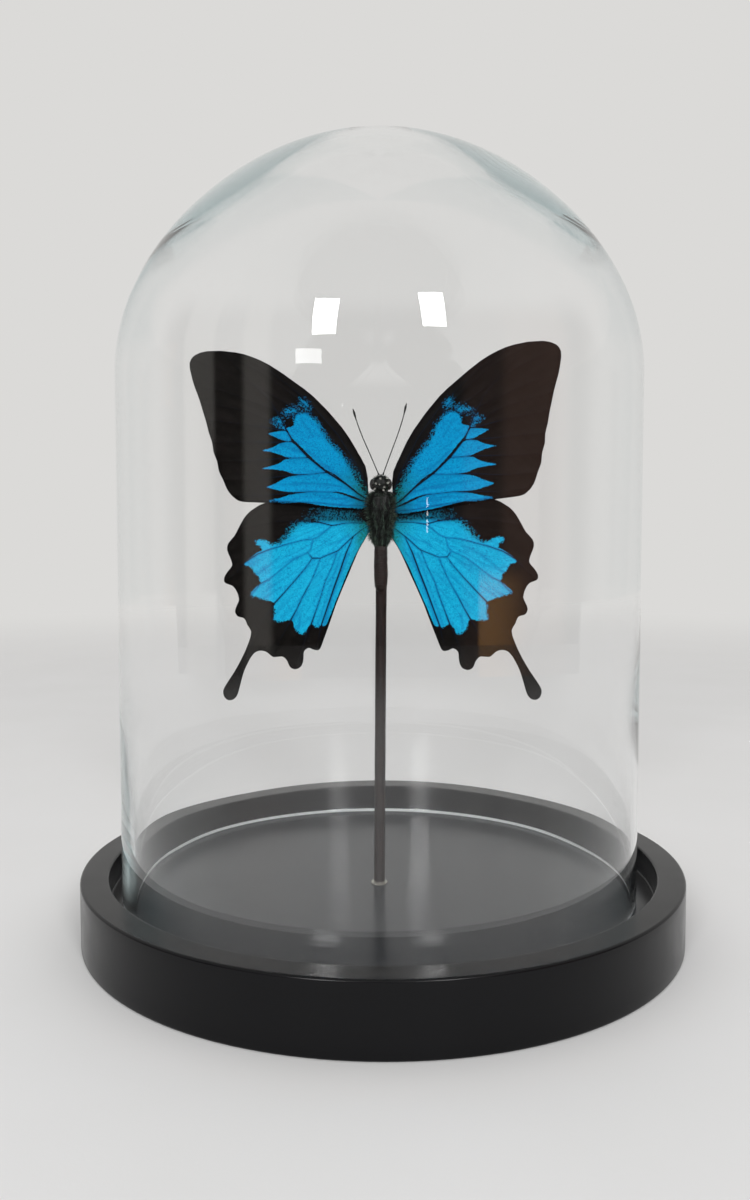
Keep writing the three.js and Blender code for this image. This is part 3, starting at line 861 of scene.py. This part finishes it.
def mouth_and_legs(cuticle, brown):
    """The coiled tongue and six folded legs, each with its femur, shin, five foot joints and claws."""
    turns = 1.75
    s = np.linspace(0, 1, 90)
    angle, r = s * turns * 2 * math.pi, 1.25 - 0.85 * s
    coil = xyz(BODY_X, BODY_Y + 3.9 - r * np.cos(angle), HEAD_Z - 0.4 + r * np.sin(angle))
    points, faces = tube(coil, 0.14 - 0.06 * s + 0.006 * np.sin(60 * s * math.pi), 10)
    piece("coiled_tongue", points, faces, [brown], ["proboscis"])

    runs = {
        "front": [(1.3, 3.75, 120.7), (2.6, 5.2, 122.1), (2.6, 5.6, 118.3), (2.6, 5.2, 115.7)],
        "mid": [(2.3, 3.4, 117.9), (3.6, 4, 118.6), (3.5, 4.6, 115.2), (3.1, 4.9, 112.4)],
        "hind": [(2, 3.1, 114.1), (2.4, 5.8, 113), (1.3, 7.2, 106), (1.2, 7.2, 99.5)],
    }
    for pair, run in runs.items():
        for side, out in SIDES.items():
            hip, knee, ankle, toe = [np.array((BODY_X + out * x, BODY_Y + y, z)) for x, y, z in run]
            femur = along_curve([hip, (hip + knee) / 2 + (0, 0.05, 0.1), knee], 16)
            shin = along_curve([knee, (knee + ankle) / 2 + (out * 0.08, 0, 0), ankle], 18)
            swell = np.sin(np.linspace(0.25, 2.9, 16))
            parts = [tube(femur, 0.16 + 0.14 * swell, 10), tube(shin, np.linspace(0.2, 0.13, 18), 10)]
            foot = along_curve([ankle, (ankle + toe) / 2 + (0, 0.08, 0), toe], 6)
            for a, b in zip(foot, foot[1:]):
                step = along_curve([a, (a + b) / 2, b], 6)
                parts.append(tube(step, [0.09, 0.1, 0.11, 0.12, 0.13, 0.1], 8))
            for way in (-1, 1):
                claw = [toe, toe + (way * 0.12, 0.05, -0.18), toe + (way * 0.1, 0.18, -0.3)]
                parts.append(tube(along_curve(claw, 6), np.linspace(0.05, 0.015, 6), 6))
            points, faces = joined(parts)
            node = f"leg_{pair}_{side}"
            piece(f"folded_{node}", points, faces, [cuticle], [node])


# ---------------------------------------------------------------- the wings

# Where each wing hinges, its turn in degrees and its size; out and up below are from here
HINGES = {
    "forewing_left": (-4.1, 120.7, 0, 1), "forewing_right": (3.2, 119.1, 5.3, 1.009),
    "hindwing_left": (-3.5, 115.9, 0, 1), "hindwing_right": (1.2, 116, 1.6, 1.021),
}

# Blue patches as (soft edge's width, [(out, up), ...]); a third number on a point is its own width
CRISP, GRAINY = 0.1, 1.0
FOREWING_BLUE = [
    (CRISP, [(27.5, 18.9), (25.1, 19.4), (22.7, 19.5), (21.3, 17.1), (22.8, 17.0), (24.2, 17.4),
             (25.9, 18.2)]),
    (CRISP, [(29.2, 14.3), (26.4, 15.0), (24.3, 16.1), (22.6, 16.5), (21.1, 16.4), (19.4, 15.2),
             (17.7, 13.4), (16.9, 12.5), (19.4, 12.4), (22.2, 12.5), (24.3, 13.2), (26.8, 14.0)]),
    (CRISP, [(29.0, 9.3), (26.0, 10.1), (24.3, 10.8), (22.2, 11.9), (16.4, 12.1), (13.9, 10.0),
             (11.8, 8.5), (15.2, 8.0), (18.6, 7.8), (20.7, 8.0), (23.2, 8.8), (26.4, 9.2)]),
    (CRISP, [(27.9, 4.2), (25.2, 5.3), (22.2, 6.8), (18.6, 7.5), (11.1, 8.0), (8.4, 6.4), (3.7, 2.8),
             (0.4, 0.2), (3.9, 1.7), (8.0, 2.9), (13.1, 3.0), (19.4, 2.9), (22.4, 3.0), (25.6, 3.6)]),
    (0.4, [(27.0, 0.4), (24.3, 1.1, CRISP), (21.1, 2.1, CRISP), (16.5, 2.8, CRISP), (10.1, 2.7, CRISP),
           (6.9, 2.0, CRISP), (3.7, 0.8, CRISP), (0.4, -0.4, CRISP), (0.6, -1.5), (8.0, -1.3, CRISP),
           (12.7, -0.8, CRISP), (18.6, 0.1, CRISP), (23.6, 0.0, 0.3)]),
    (CRISP, [(0.2, 0.6), (3.1, 3.1), (6.1, 5.5), (8.8, 7.6), (11.6, 9.1), (14.3, 11.3), (17.3, 14.2),
             (19.4, 16.3), (20.9, 17.8), (22.3, 20.1), (22.1, 20.5), (20.7, 20.9), (20.2, 21.9, 0.4),
             (20.4, 23.2, 0.6), (19.3, 24.3, 0.6), (17.6, 24.9, 0.8), (16.2, 24.3, 0.9),
             (14.9, 23.2, GRAINY), (13.6, 21.9, GRAINY), (12.2, 19.3, GRAINY), (10.7, 17.0, GRAINY),
             (9.0, 15.2, GRAINY), (7.4, 13.6, GRAINY), (6.0, 11.9, 1.2), (4.9, 10.2, 1.3),
             (3.8, 8.5, 1.4), (2.8, 6.8, 1.4), (2.0, 5.1, 1.2), (1.2, 3.0, 0.8)]),
    (1.1, [(26.2, 22.3), (24.3, 23.0), (23.7, 21.8), (23.0, 20.2, 0.3), (24.0, 20.3), (25.0, 21.3)]),
    (1.3, [(23.4, 24.6), (22.3, 25.5), (20.6, 26.0), (19.2, 25.7), (19.4, 25.0), (21.0, 24.4),
           (22.6, 24.1)]),
    (1.2, [(18.6, 28.4), (17.4, 28.0), (16.4, 26.9), (16.2, 26.0), (17.4, 25.9), (18.4, 27.0)]),
]
HINDWING_BLUE = [
    (2.4, [(18.0, 0.2), (16.6, 1.5), (14.8, 2.7), (11.4, 4.0), (4.6, 3.6), (3.2, 0.6, 0.5),
           (1.2, -1.1, 0.3), (4.7, -0.8, CRISP), (7.6, -1.0, CRISP), (10.6, -1.5, CRISP),
           (14, -0.6, 0.4)]),
    (CRISP, [(18.9, -0.5, 1.2), (20.3, -1.2, 1.5), (22.1, -2.8, 1.5), (23.3, -4.4, 1.4), (25.1, -6.2, 1.0),
             (26.4, -6.8, 0.6), (28.0, -6.7, 0.6), (29.6, -5.8, 0.4), (31.5, -5.8, 0.4),
             (31.5, -6.8, 0.4), (30.4, -7.5, 0.4), (30.0, -8.6), (31.6, -9.4), (34.9, -12.2),
             (33.1, -13.2, 0.3), (31.9, -15.2, 0.3), (31.0, -15.7), (30.8, -16.8, 0.3), (30.5, -17.7),
             (32.2, -19.3), (33.4, -21.0, 0.4),
             (31.4, -21.6, 0.4), (29.7, -22.1, 0.4), (26.6, -23.2), (26.7, -24.3, 0.4), (26.5, -25.8, 0.5),
             (26.6, -28.2, 0.4), (24.5, -28.3, 0.4), (22.3, -28.0), (21.5, -28.5), (21.1, -30.3, 0.3),
             (20.2, -31.5, 0.4), (18.6, -32.0, 0.4), (16.7, -29.2), (15.7, -29.6, 0.3), (14.7, -30.2, 0.3),
             (13.7, -29.5, 0.3), (12.5, -29.6), (11.2, -26.6), (9.6, -22.5), (7.8, -18.1), (5.9, -13.4),
             (3.9, -9.3), (1.6, -4.9), (0.6, -1.9), (4.7, -1.1), (7.6, -1.3), (10.6, -1.9), (14, -1.0)]),
]

# Veins and folds as runs of (out, up, half-width)
FOREWING_VEINS = [
    [(-0.4, -0.1, .12), (6.1, 5.0, .21), (11.6, 8.5, .28), (16.6, 12.5, .27), (20.9, 17.0, .19),
     (22.5, 19.8, .17), (23.6, 22.4, .2), (27, 28, .12), (33, 34, .08), (39.5, 40.6, .06)],
    [(22.5, 19.8, .12), (23.8, 19.8, .16), (24.9, 20.0, .24), (33, 21.4, .1), (44.4, 22.6, .06)],
    [(20.9, 16.7, .14), (22.8, 16.7, .15), (24.3, 16.5, .24), (33, 16.6, .1), (43, 16.6, .06)],
    [(16.6, 12.3, .12), (19.4, 12.2, .11), (22.2, 12.2, .14), (23.9, 12.1, .24), (33, 11.4, .1),
     (42, 11.2, .06)],
    [(11.6, 8.2, .12), (15.2, 7.8, .1), (18.6, 7.6, .13), (21.1, 7.5, .24), (31, 6.2, .1),
     (40.2, 6.1, .06)],
    [(-0.2, -0.2, .12), (4.8, 1.5, .1), (8.4, 2.8, .1), (13.1, 2.9, .1), (16.5, 2.9, .13), (21.1, 2.5, .24),
     (30, 1.8, .1), (38, 1.9, .06)],
    [(-0.4, 0.8, .14), (2.4, 9.2, .17), (8.3, 18.6, .17), (16.0, 27.5, .14), (26, 35.2, .1),
     (35, 40.2, .06)],
    [(-0.2, 0.4, .12), (4.6, 11.3, .12), (10.2, 18.3, .12), (15.0, 24.6, .14), (20, 29, .1),
     (30, 36, .08), (41, 41, .06)],
    [(15.0, 24.6, .1), (18.6, 24.9, .12), (21.0, 23.6, .14), (22.6, 20.6, .14)],
    [(18.6, 24.9, .12), (28, 30.5, .09), (38, 35.5, .07), (47.3, 39.0, .05)],
    [(21.0, 23.6, .12), (31, 27.5, .09), (40, 30.6, .07), (47.4, 32.0, .05)],
    [(22.9, 21.0, .12), (33, 25.0, .09), (45.4, 27.4, .05)],
    [(-0.3, -0.9, .1), (6, -0.9, .08), (13, -0.2, .08), (23, 0.2, .08), (33, 0.6, .06)],
]
FOREWING_FOLDS = [
    [(4.8, 3.4), (9.0, 4.6), (12.2, 5.0), (16.5, 5.2), (20.5, 5.4)],
    [(17.0, 14.4), (12.2, 10.5), (10.1, 8.7), (6.9, 6.4)],
    [(26.0, 14.6), (24.4, 14.2)],
    [(6.5, 0.8), (10, 1.2), (13, 1.0)],
    [(18.5, 22.8), (16.8, 20.4), (15.2, 18.2)],
    [(7.5, -0.6), (6.2, 0.2), (4.4, 0.4)],
]
HINDWING_VEINS = [
    [(0.2, -1.0, .1), (4.7, -.9, .1), (7.6, -1.1, .12), (10.6, -1.6, .15), (13.9, -.8, .17),
     (18.8, -.3, .15), (26, -0.4, .08), (36.6, -2.6, .05)],
    [(10.6, -1.6, .1), (14.6, -4.9, .07), (15.9, -5.4, .08), (18.9, -5.7, .09), (22.4, -6.6, .11),
     (28.1, -8.3, .13), (31.4, -9.6, .16), (34.8, -11.8, .2), (37.6, -15.2, .08), (40.2, -17.2, .05)],
    [(15.9, -5.4, .05), (16.5, -8.1, .05), (17.4, -9.1, .08), (16.1, -10.7, .15), (13.9, -10.7, .13),
     (8.9, -8.6, .15), (5.2, -5.1, .15), (0.4, -1.2, .12)],
    [(17.4, -9.1, .06), (21.4, -11.1, .07), (25.1, -14.1, .07), (28.2, -16.6, .09), (30.6, -17.8, .14),
     (34.5, -22.4, .08), (36.8, -26.8, .05)],
    [(16.1, -10.7, .11), (17.9, -13.3, .12), (20.4, -16.3, .14), (24.4, -20.8, .16), (26.8, -23.4, .2),
     (31, -30.4, .1), (34.4, -38.5, .09), (37.2, -45.6, .09), (39.2, -50.0, .07)],
    [(13.9, -10.7, .09), (14.6, -12.8, .09), (16.2, -16.6, .11), (18.9, -21.6, .13), (20.4, -24.8, .15),
     (22.2, -28.1, .2), (25, -33.5, .1), (27.3, -38.6, .05)],
    [(9.1, -8.8, .09), (10.7, -13.3, .09), (12.4, -16.8, .1), (13.9, -21.8, .12), (15.2, -25.6, .14),
     (16.5, -29.4, .2), (19, -36, .1), (20.9, -42.0, .05)],
    [(4.6, -4.6, .12), (6.7, -9.3, .2), (8.4, -14.3, .22), (10.2, -19.3, .22), (11.9, -24.3, .2),
     (13.6, -29.4, .2), (15, -36.3, .06)],
]
HINDWING_FOLDS = [
    [(25.4, -10.6), (27.6, -12.3), (30.6, -14.8), (32.1, -15.6)],
    [(25.0, -18.9), (29.2, -21.8)],
    [(19.5, -26.5), (20.0, -30.6)],
    [(5.4, -4.2), (8.5, -6.0), (11.5, -7.0)],
    [(8.2, -9.6), (10.3, -16.5), (12.2, -22.0), (14.6, -29.4)],
    [(6.0, -9.4), (8.4, -15.6), (10.6, -21.8), (12.6, -28.6)],
]


def distance_to_run(places, run):
    """Each place's distance to a run of points, and the third number of the run there (or 0)."""
    best = np.full(len(places), 1e9)
    worth = np.zeros(len(places))
    for a, b in zip(run, run[1:]):
        start, step = np.array(a[:2]), np.array(b[:2]) - np.array(a[:2])
        t = np.clip(((places - start) @ step) / (step @ step), 0, 1)
        away = np.linalg.norm(places - start - t[:, None] * step, axis=1)
        closer = away < best
        best[closer] = away[closer]
        if len(a) > 2:
            worth[closer] = a[2] + (b[2] - a[2]) * t[closer]
    return best, worth


def is_inside(places, loop):
    """Whether each place is inside a closed loop."""
    x, y = places.T
    inside = np.zeros(len(places), bool)
    for (x1, y1), (x2, y2) in zip(loop, np.roll(loop, -1, axis=0)):
        if y1 != y2:
            crosses = (y1 > y) != (y2 > y)
            inside ^= crosses & (x < x1 + (y - y1) / (y2 - y1) * (x2 - x1))
    return inside


def patch_depth(places, patches):
    """How deep each place lies in the blue patches (below 0 outside), and its soft edge's width."""
    depth, soft = np.full(len(places), -1e9), np.full(len(places), CRISP)
    for width, outline in patches:
        run = [(p[0], p[1], p[2] if len(p) > 2 else width) for p in outline]
        loop = along_curve(run + run[:1], 4 * len(run) + 1)
        away, width_here = distance_to_run(places, loop)
        away = np.where(is_inside(places, loop[:-1, :2]), away, -away)
        deeper = away > depth
        depth[deeper], soft[deeper] = away[deeper], np.maximum(width_here[deeper], CRISP)
    return depth + 0.1, soft


def plate_outline(node):
    """The loop round the front of a CAD wing plate, as X and Z in millimetres."""
    mesh = node.data
    points = np.array([v.co for v in mesh.vertices]) / MM
    front = points[:, 1] < points[:, 1].min() + 0.01
    where = {i: (round(points[i, 0], 3), round(points[i, 2], 3)) for i in np.flatnonzero(front)}
    count = {}
    mesh.calc_loop_triangles()
    for triangle in mesh.loop_triangles:
        corners = list(triangle.vertices)
        if all(front[i] for i in corners):
            for a, b in zip(corners, corners[1:] + corners[:1]):
                pair = frozenset((where[a], where[b]))
                count[pair] = count.get(pair, 0) + 1
    links = {}
    for pair, uses in count.items():
        if uses == 1 and len(pair) == 2:
            a, b = pair
            links.setdefault(a, []).append(b)
            links.setdefault(b, []).append(a)
    first = max(links, key=lambda p: abs(p[0]))
    loop, last, here = [first], first, links[first][0]
    while here != first:
        loop.append(here)
        here, last = next(p for p in links[here] if p != last), here
    return np.array(loop)


def even_loop(loop, spacing):
    """A closed loop, smoothed a little and cut into even steps."""
    p = np.vstack([loop, loop[:1]])
    far = np.r_[0, np.cumsum(np.linalg.norm(np.diff(p, axis=0), axis=1))]
    fine = np.linspace(0, far[-1], int(far[-1] / 0.1), endpoint=False)
    q = np.stack([np.interp(fine, far, p[:, 0]), np.interp(fine, far, p[:, 1])], -1)
    weights = np.hanning(11) / np.hanning(11).sum()
    q = sum(w * np.roll(q, k - 5, axis=0) for k, w in enumerate(weights))
    return q[::max(1, round(spacing / 0.1))]


def wing_sheet(loop, spacing):
    """Even triangles that fill a loop: places, triangles, and the number of edge places first."""
    low, high = loop.min(0), loop.max(0)
    grid = []
    for k, z in enumerate(np.arange(low[1], high[1], spacing * math.sqrt(3) / 2)):
        row = np.arange(low[0] + (k % 2) * spacing / 2, high[0], spacing)
        grid.append(np.stack([row, np.full(len(row), z)], -1))
    grid = np.vstack(grid)
    grid = grid[is_inside(grid, loop)]
    away, _ = distance_to_run(grid, np.vstack([loop, loop[:1]]))
    grid = grid[away > spacing * 0.55]
    places = np.vstack([loop, grid])
    edges = [(i, (i + 1) % len(loop)) for i in range(len(loop))]
    made = geometry.delaunay_2d_cdt([Vector(p) for p in places], edges, [], 1, 1e-5)
    return np.array(made[0]), [list(f) for f in made[2]], len(loop)


def wing(name, blues, veins, folds, front, back, fan_centre, spacing):
    """One wing: a thin veined membrane with its blue, vein and fold marks stored on its points."""
    kind, side = name.split("_")
    out = SIDES[side]
    hinge_x, hinge_z, raised, size = HINGES[name]
    turn = math.radians(raised)
    low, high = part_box(name)
    middle_y = (low.y + high.y) / 2 / MM

    loop = even_loop(plate_outline(nodes[name]), spacing)
    if np.cross(loop, np.roll(loop, -1, axis=0)).sum() < 0:
        loop = loop[::-1]
    places, triangles, rim = wing_sheet(loop, spacing)

    # Each place from the hinge, in the left wing's measure
    x, z = (places[:, 0] - hinge_x) * out / size, (places[:, 1] - hinge_z) / size
    local = np.stack([x * math.cos(turn) + z * math.sin(turn),
                      z * math.cos(turn) - x * math.sin(turn)], -1)

    depth, soft = patch_depth(local, blues)
    vein, pleat = np.full(len(local), 9.0), np.full(len(local), 9.0)
    for run in veins:
        away, half = distance_to_run(local, run)
        vein = np.minimum(vein, away - half)
        pleat = np.minimum(pleat, away)
    fold = np.min([distance_to_run(local, run)[0] for run in folds], axis=0)
    edge, _ = distance_to_run(places, np.vstack([loop, loop[:1]]))

    # Relief: veins stand up, the membrane sags between them, and the whole wing waves a little
    world_x, world_z = places.T
    wave = (0.35 * np.sin(world_x * 0.085 + 0.6) * np.cos(world_z * 0.07)
            + 0.12 * np.sin(world_x * 0.21 - world_z * 0.17) - 0.0055 * np.abs(world_x) ** 1.25
            + 0.45 * np.clip((104 - world_z) / 40, 0, 1) ** 2)
    sag = (0.13 * (1 - np.exp(-(pleat / 1.1) ** 2))
           + 0.02 * np.sin(local[:, 0] * 2.3) * np.cos(local[:, 1] * 1.9))
    ridge = 0.075 * np.exp(-(pleat / 0.2) ** 2)
    crease = 0.06 * np.exp(-(fold / 0.25) ** 2)
    thickness = 0.07 * np.clip(edge / 0.4, 0.25, 1)
    centre = middle_y + wave + sag + crease
    pull = np.clip(1 - local[:, 0] / 3, 0, 1) ** 2  # the root runs in under the body's down
    places[:, 0] -= out * 1.1 * pull
    lift = thickness + ridge
    skins = [xyz(places[:, 0], y, places[:, 1]) for y in (centre - lift, centre + lift)]

    count = len(places)
    faces, kinds = [], []
    for face in triangles:
        a, b, c = places[face[0]], places[face[1]], places[face[2]]
        if (b[0] - a[0]) * (c[1] - a[1]) - (b[1] - a[1]) * (c[0] - a[0]) < 0:
            face = face[::-1]
        faces.append(face)
        kinds.append(0)
        faces.append([i + count for i in face[::-1]])
        kinds.append(1)
    for i in range(rim):
        j = (i + 1) % rim
        faces.append([j, i, i + count, j + count])
        kinds.append(0)

    made = piece(f"{kind}_membrane_{side}", np.vstack(skins), faces, [front, back], [name],
                 kinds=kinds)
    angle = np.arctan2(local[:, 1] - fan_centre[1], local[:, 0] - fan_centre[0])
    far = np.hypot(local[:, 0] - fan_centre[0], local[:, 1] - fan_centre[1])
    offset = 200.0 if side == "right" else 0.0  # so that no two wings have the same grain
    fan = xyz(angle * 26, far * 0.09, offset)
    in_plane = xyz(local[:, 0], local[:, 1], offset)
    root = np.hypot(local[:, 0], local[:, 1])
    if kind == "forewing":
        costal = np.clip((local[:, 1] - 0.85 * local[:, 0] + 1.5) / 3, 0, 1)
        teal = np.clip((13 - root) / 10, 0, 1) * costal + np.clip((6.5 - root) / 5, 0, 1) * 0.6
        dusk = np.clip((5.5 - root) / 5, 0, 1) * 0.6
    else:
        from_inner_edge, _ = distance_to_run(local, [(0, 0), (3.4, -9), (9.5, -23.6)])
        inner_side = np.clip((2.2 - from_inner_edge) / 1.6, 0, 1)
        teal = np.clip((9 - root) / 7, 0, 1) * 0.8 + inner_side * np.clip((22 - root) / 18, 0, 1) * 0.7
        above = np.clip((local[:, 1] + 1.2) / 1.2, 0, 1)
        dusk = above * 0.85 + np.clip((6 - root) / 5, 0, 1) * 0.45
    marks = {"blue": depth, "soft": soft, "vein": vein, "fold": fold, "edge": edge,
             "root": np.clip(teal, 0, 1), "dusk": np.clip(dusk, 0, 1)}
    for label, values in marks.items():
        mark(made, label, np.tile(values, 2))
    mark(made, "wing_mm", np.tile(in_plane, (2, 1)), "FLOAT_VECTOR")
    mark(made, "fan", np.tile(fan, (2, 1)), "FLOAT_VECTOR")


def wings():
    """All four wings. The forewings' blue is deeper than the hind wings'."""
    fore_blue = wing_scales("blue_scales_forewing", "#007eb7", "#089bcd", "#04558f", "#0c5f5f")
    hind_blue = wing_scales("blue_scales_hindwing", "#0699c6", "#1cb4dc", "#065d9e", "#14706c")
    brown = wing_underside("brown_scales_underside")
    makings = {
        "forewing": (FOREWING_BLUE, FOREWING_VEINS, FOREWING_FOLDS, fore_blue, brown, (-14, 3)),
        "hindwing": (HINDWING_BLUE, HINDWING_VEINS, HINDWING_FOLDS, hind_blue, brown, (-2, 3)),
    }
    for name in HINGES:
        wing(name, *makings[name.split("_")[0]], spacing=0.27)


# ---------------------------------------------------------------- studio

BACKDROP = linear("#dbdad8")
ROOM_DARK = "#1d1b1a"
# Upright bands in the room behind the camera: from and to an azimuth, blur in degrees, colour
ROOM_BANDS = [(-86, -70, 1.5, "#a8a5a0"), (-56, -44, 2, "#aaa6a0"), (34, 48, 2.5, "#55403a"),
              (50, 82, 5, "#86685c")]
TABLE_FRONT = -660  # the table's front edge, behind the camera, in millimetres
# Two softboxes, a wide fill between them that leaves no glint of its own, and small far lamps:
# name, azimuth and elevation from the dome, width and height in metres, power in watts
LAMPS = [
    ("softbox_left", 201.5, 21.2, 0.45, 0.85, 22), ("softbox_right", 158, 24.2, 0.45, 0.85, 22),
    ("fill", 180, 24, 1.6, 0.8, 23), ("shelf_lamp", 207.5, 9.7, 0.5, 0.04, 0.27),
    ("strip_lamp_high", 161, 1.4, 0.03, 0.027, 0.012),
    ("strip_lamp_middle", 161, 0.77, 0.03, 0.015, 0.007),
    ("strip_lamp_low", 161, 0.05, 0.03, 0.036, 0.016),
]
LAMP_DISTANCE = 2.8  # metres


def seen_plainly(tree):
    """1 for what is seen directly or straight through clear glass, 0 for what a surface mirrors."""
    ray = add(tree, "LightPath", output=None)
    unmirrored = add(tree, "Math", [ray["Glossy Depth"], 0.5], operation="LESS_THAN")
    through = add(tree, "Math", [ray["Is Transmission Ray"], unmirrored], operation="MULTIPLY")
    return add(tree, "Math", [ray["Is Camera Ray"], through], operation="MAXIMUM")


def table_paper():
    """Matt white paper with a fine tooth, glowing into the backdrop far off.

    Toward the dim room the glass mirrors it in shade, down to the dark at its front edge.
    """
    material, tree = finish("matt_table_paper")
    place = place_in_mm(tree)
    away = add(tree, "VectorMath", [place], "Value", operation="LENGTH")
    toward_backdrop = add(tree, "SeparateXYZ", [place], "Y")
    in_shade = add(tree, "Math", [1.0, seen_plainly(tree)], operation="SUBTRACT")
    in_shade = faded(tree, in_shade, [away, 330, 560], [toward_backdrop, -60, -250])
    in_dark = faded(tree, in_shade, [away, 520, 655])
    cloud = add(tree, "TexNoise", {"Vector": place, "Scale": 1 / 60, "Detail": 3})
    tone = layered(tree, "#dadada", [(cloud, "#dfdfe0"), (in_shade, "#858381"), (in_dark, ROOM_DARK)])
    tooth = add(tree, "TexNoise", {"Vector": place, "Scale": 1 / 0.8, "Detail": 3})
    paper = add(tree, "BsdfPrincipled", {
        "Base Color": tone, "Roughness": 0.7, "Specular IOR Level": 0.2,
        "Normal": add(tree, "Bump", {"Height": tooth, "Distance": 0.02 * MM})})
    glow = add(tree, "Emission", {"Color": BACKDROP, "Strength": 1.0})
    far_off = add(tree, "MapRange", [away, 450, 1300], **SMOOTH)
    add(tree, "OutputMaterial", {"Surface": add(tree, "MixShader", [far_off, paper, glow])}, None)
    return material


def table_top():
    """A round pale table, cut off short behind the camera."""
    points, faces = turned([(0, 0)] + [(r, 0) for r in (120, 300, 640, 1500)], 96)
    far = np.maximum(np.hypot(points[:, 0], points[:, 1]), 1)
    is_front = points[:, 1] < -1
    points[is_front] *= np.minimum(1, -TABLE_FRONT / far)[is_front, None]
    mesh = bpy.data.meshes.new("table_top")
    mesh.from_pydata((points * MM).tolist(), [], faces)
    mesh.materials.append(table_paper())
    table = bpy.data.objects.new("table_top", mesh)
    bpy.context.scene.collection.objects.link(table)


def room_light():
    """A pale room, dim behind the camera. The dim part shows only where glass or paint mirrors it."""
    world = bpy.data.worlds.new("studio")
    bpy.context.scene.world = world
    world.use_nodes = True
    tree = world.node_tree
    tree.nodes.clear()
    ray = add(tree, "LightPath", output=None)
    way = add(tree, "TexCoord", output="Generated")
    x, y, z = add(tree, "SeparateXYZ", [way], None)

    # Angles in degrees: from straight behind the camera, from straight ahead of it, and upwards
    backwards = add(tree, "Math", [y, -1.0], operation="MULTIPLY")
    angles = []
    for operation, sides in (("ARCTAN2", [x, backwards]), ("ARCTAN2", [x, y]), ("ARCSINE", [z])):
        angle = add(tree, "Math", sides, operation=operation)
        angles.append(add(tree, "Math", [angle, 180 / math.pi], operation="MULTIPLY"))
    behind, ahead, height = angles

    # The dim room: its walls and doorways show as upright bands in the glass
    room = ROOM_DARK
    for start, end, blur, colour in ROOM_BANDS:
        band = faded(tree, 1.0, [behind, start - blur, start + blur], [behind, end + blur, end - blur])
        room = layered(tree, room, [(band, colour)])
    # Low on the right, light on a wooden door
    door = faded(tree, 1.0, [behind, 40, 42], [behind, 66, 46], [z, -0.025, -0.05])
    wide = add(tree, "Math", [behind], operation="ABSOLUTE")
    colour = layered(tree, room, [
        (door, "#ffbf80"), (add(tree, "MapRange", [wide, 85, 105], **SMOOTH), BACKDROP),
        (add(tree, "MapRange", [z, 0.3, 0.55], **SMOOTH), BACKDROP), (seen_plainly(tree), BACKDROP)])

    # Past the backdrop's edges, seen only in the glass: grey on both sides, its edge leaning out
    edge = add(tree, "Math", [add(tree, "MapRange", [height, 18, 26, 19, 12.5]),
                              add(tree, "MapRange", [height, 26, 60, 0, 15])], operation="ADD")
    sideways = add(tree, "Math", [ahead], operation="ABSOLUTE")
    past = add(tree, "Math", [sideways, edge], operation="SUBTRACT")
    grey = faded(tree, ray["Is Transmission Ray"], [past, -0.5, 1.5], [past, 62, 46],
                 [height, 10, 18, 0.3, 0.85])
    colour = layered(tree, colour, [(grey, "#859c9f"), (ray["Is Camera Ray"], BACKDROP)])
    light = add(tree, "Background", {"Color": colour, "Strength": 1.0})
    add(tree, "OutputWorld", {"Surface": light}, None)


def lamps():
    """The softboxes and lamps, round a point just above the insect's middle."""
    centre = Vector((0, 0, 0.14))
    for name, azimuth, elevation, wide, high, power in LAMPS:
        lamp = bpy.data.lights.new(name, "AREA")
        lamp.shape, lamp.size, lamp.size_y, lamp.energy = "RECTANGLE", wide, high, power
        made = bpy.data.objects.new(name, lamp)
        bpy.context.scene.collection.objects.link(made)
        # Azimuth 0 is straight ahead of the camera, and 90 is to its right
        around, up = math.radians(azimuth), math.radians(elevation)
        toward = Vector((math.sin(around) * math.cos(up), math.cos(around) * math.cos(up), math.sin(up)))
        made.location = centre + toward * LAMP_DISTANCE
        made.rotation_euler = (centre - made.location).to_track_quat("-Z", "Y").to_euler()
        made.visible_camera = False
        made.visible_glossy = made.visible_transmission = name != "fill"


def camera():
    """Level with the insect's shoulders, looking a little down."""
    data = bpy.data.cameras.new("camera")
    data.sensor_width, data.lens = 36, 31.2
    data.clip_start, data.clip_end = 0.01, 20
    made = bpy.data.objects.new("camera", data)
    bpy.context.scene.collection.objects.link(made)
    made.location = (0, -0.2985, 0.1112)
    tilt_down, turn_left = math.radians(3.49), math.radians(0.42)
    made.rotation_euler = (math.pi / 2 - tilt_down, 0, turn_left)
    bpy.context.scene.camera = made


# ---------------------------------------------------------------- assembly

base()
dome()
rod()
glue()
cuticle = thorax()
down = down_hair()
body_down(down)
head(cuticle, down)
eyes()
brown = abdomen(down)
antennae(cuticle)
mouth_and_legs(cuticle, brown)
wings()
table_top()
room_light()
lamps()
camera()
bpy.context.scene.view_settings.view_transform = "Standard"
bpy.context.scene.cycles.use_denoising = True
bpy.context.scene.cycles.glossy_bounces = 44
bpy.context.scene.cycles.transmission_bounces = 44
bpy.context.scene.cycles.max_bounces = 48
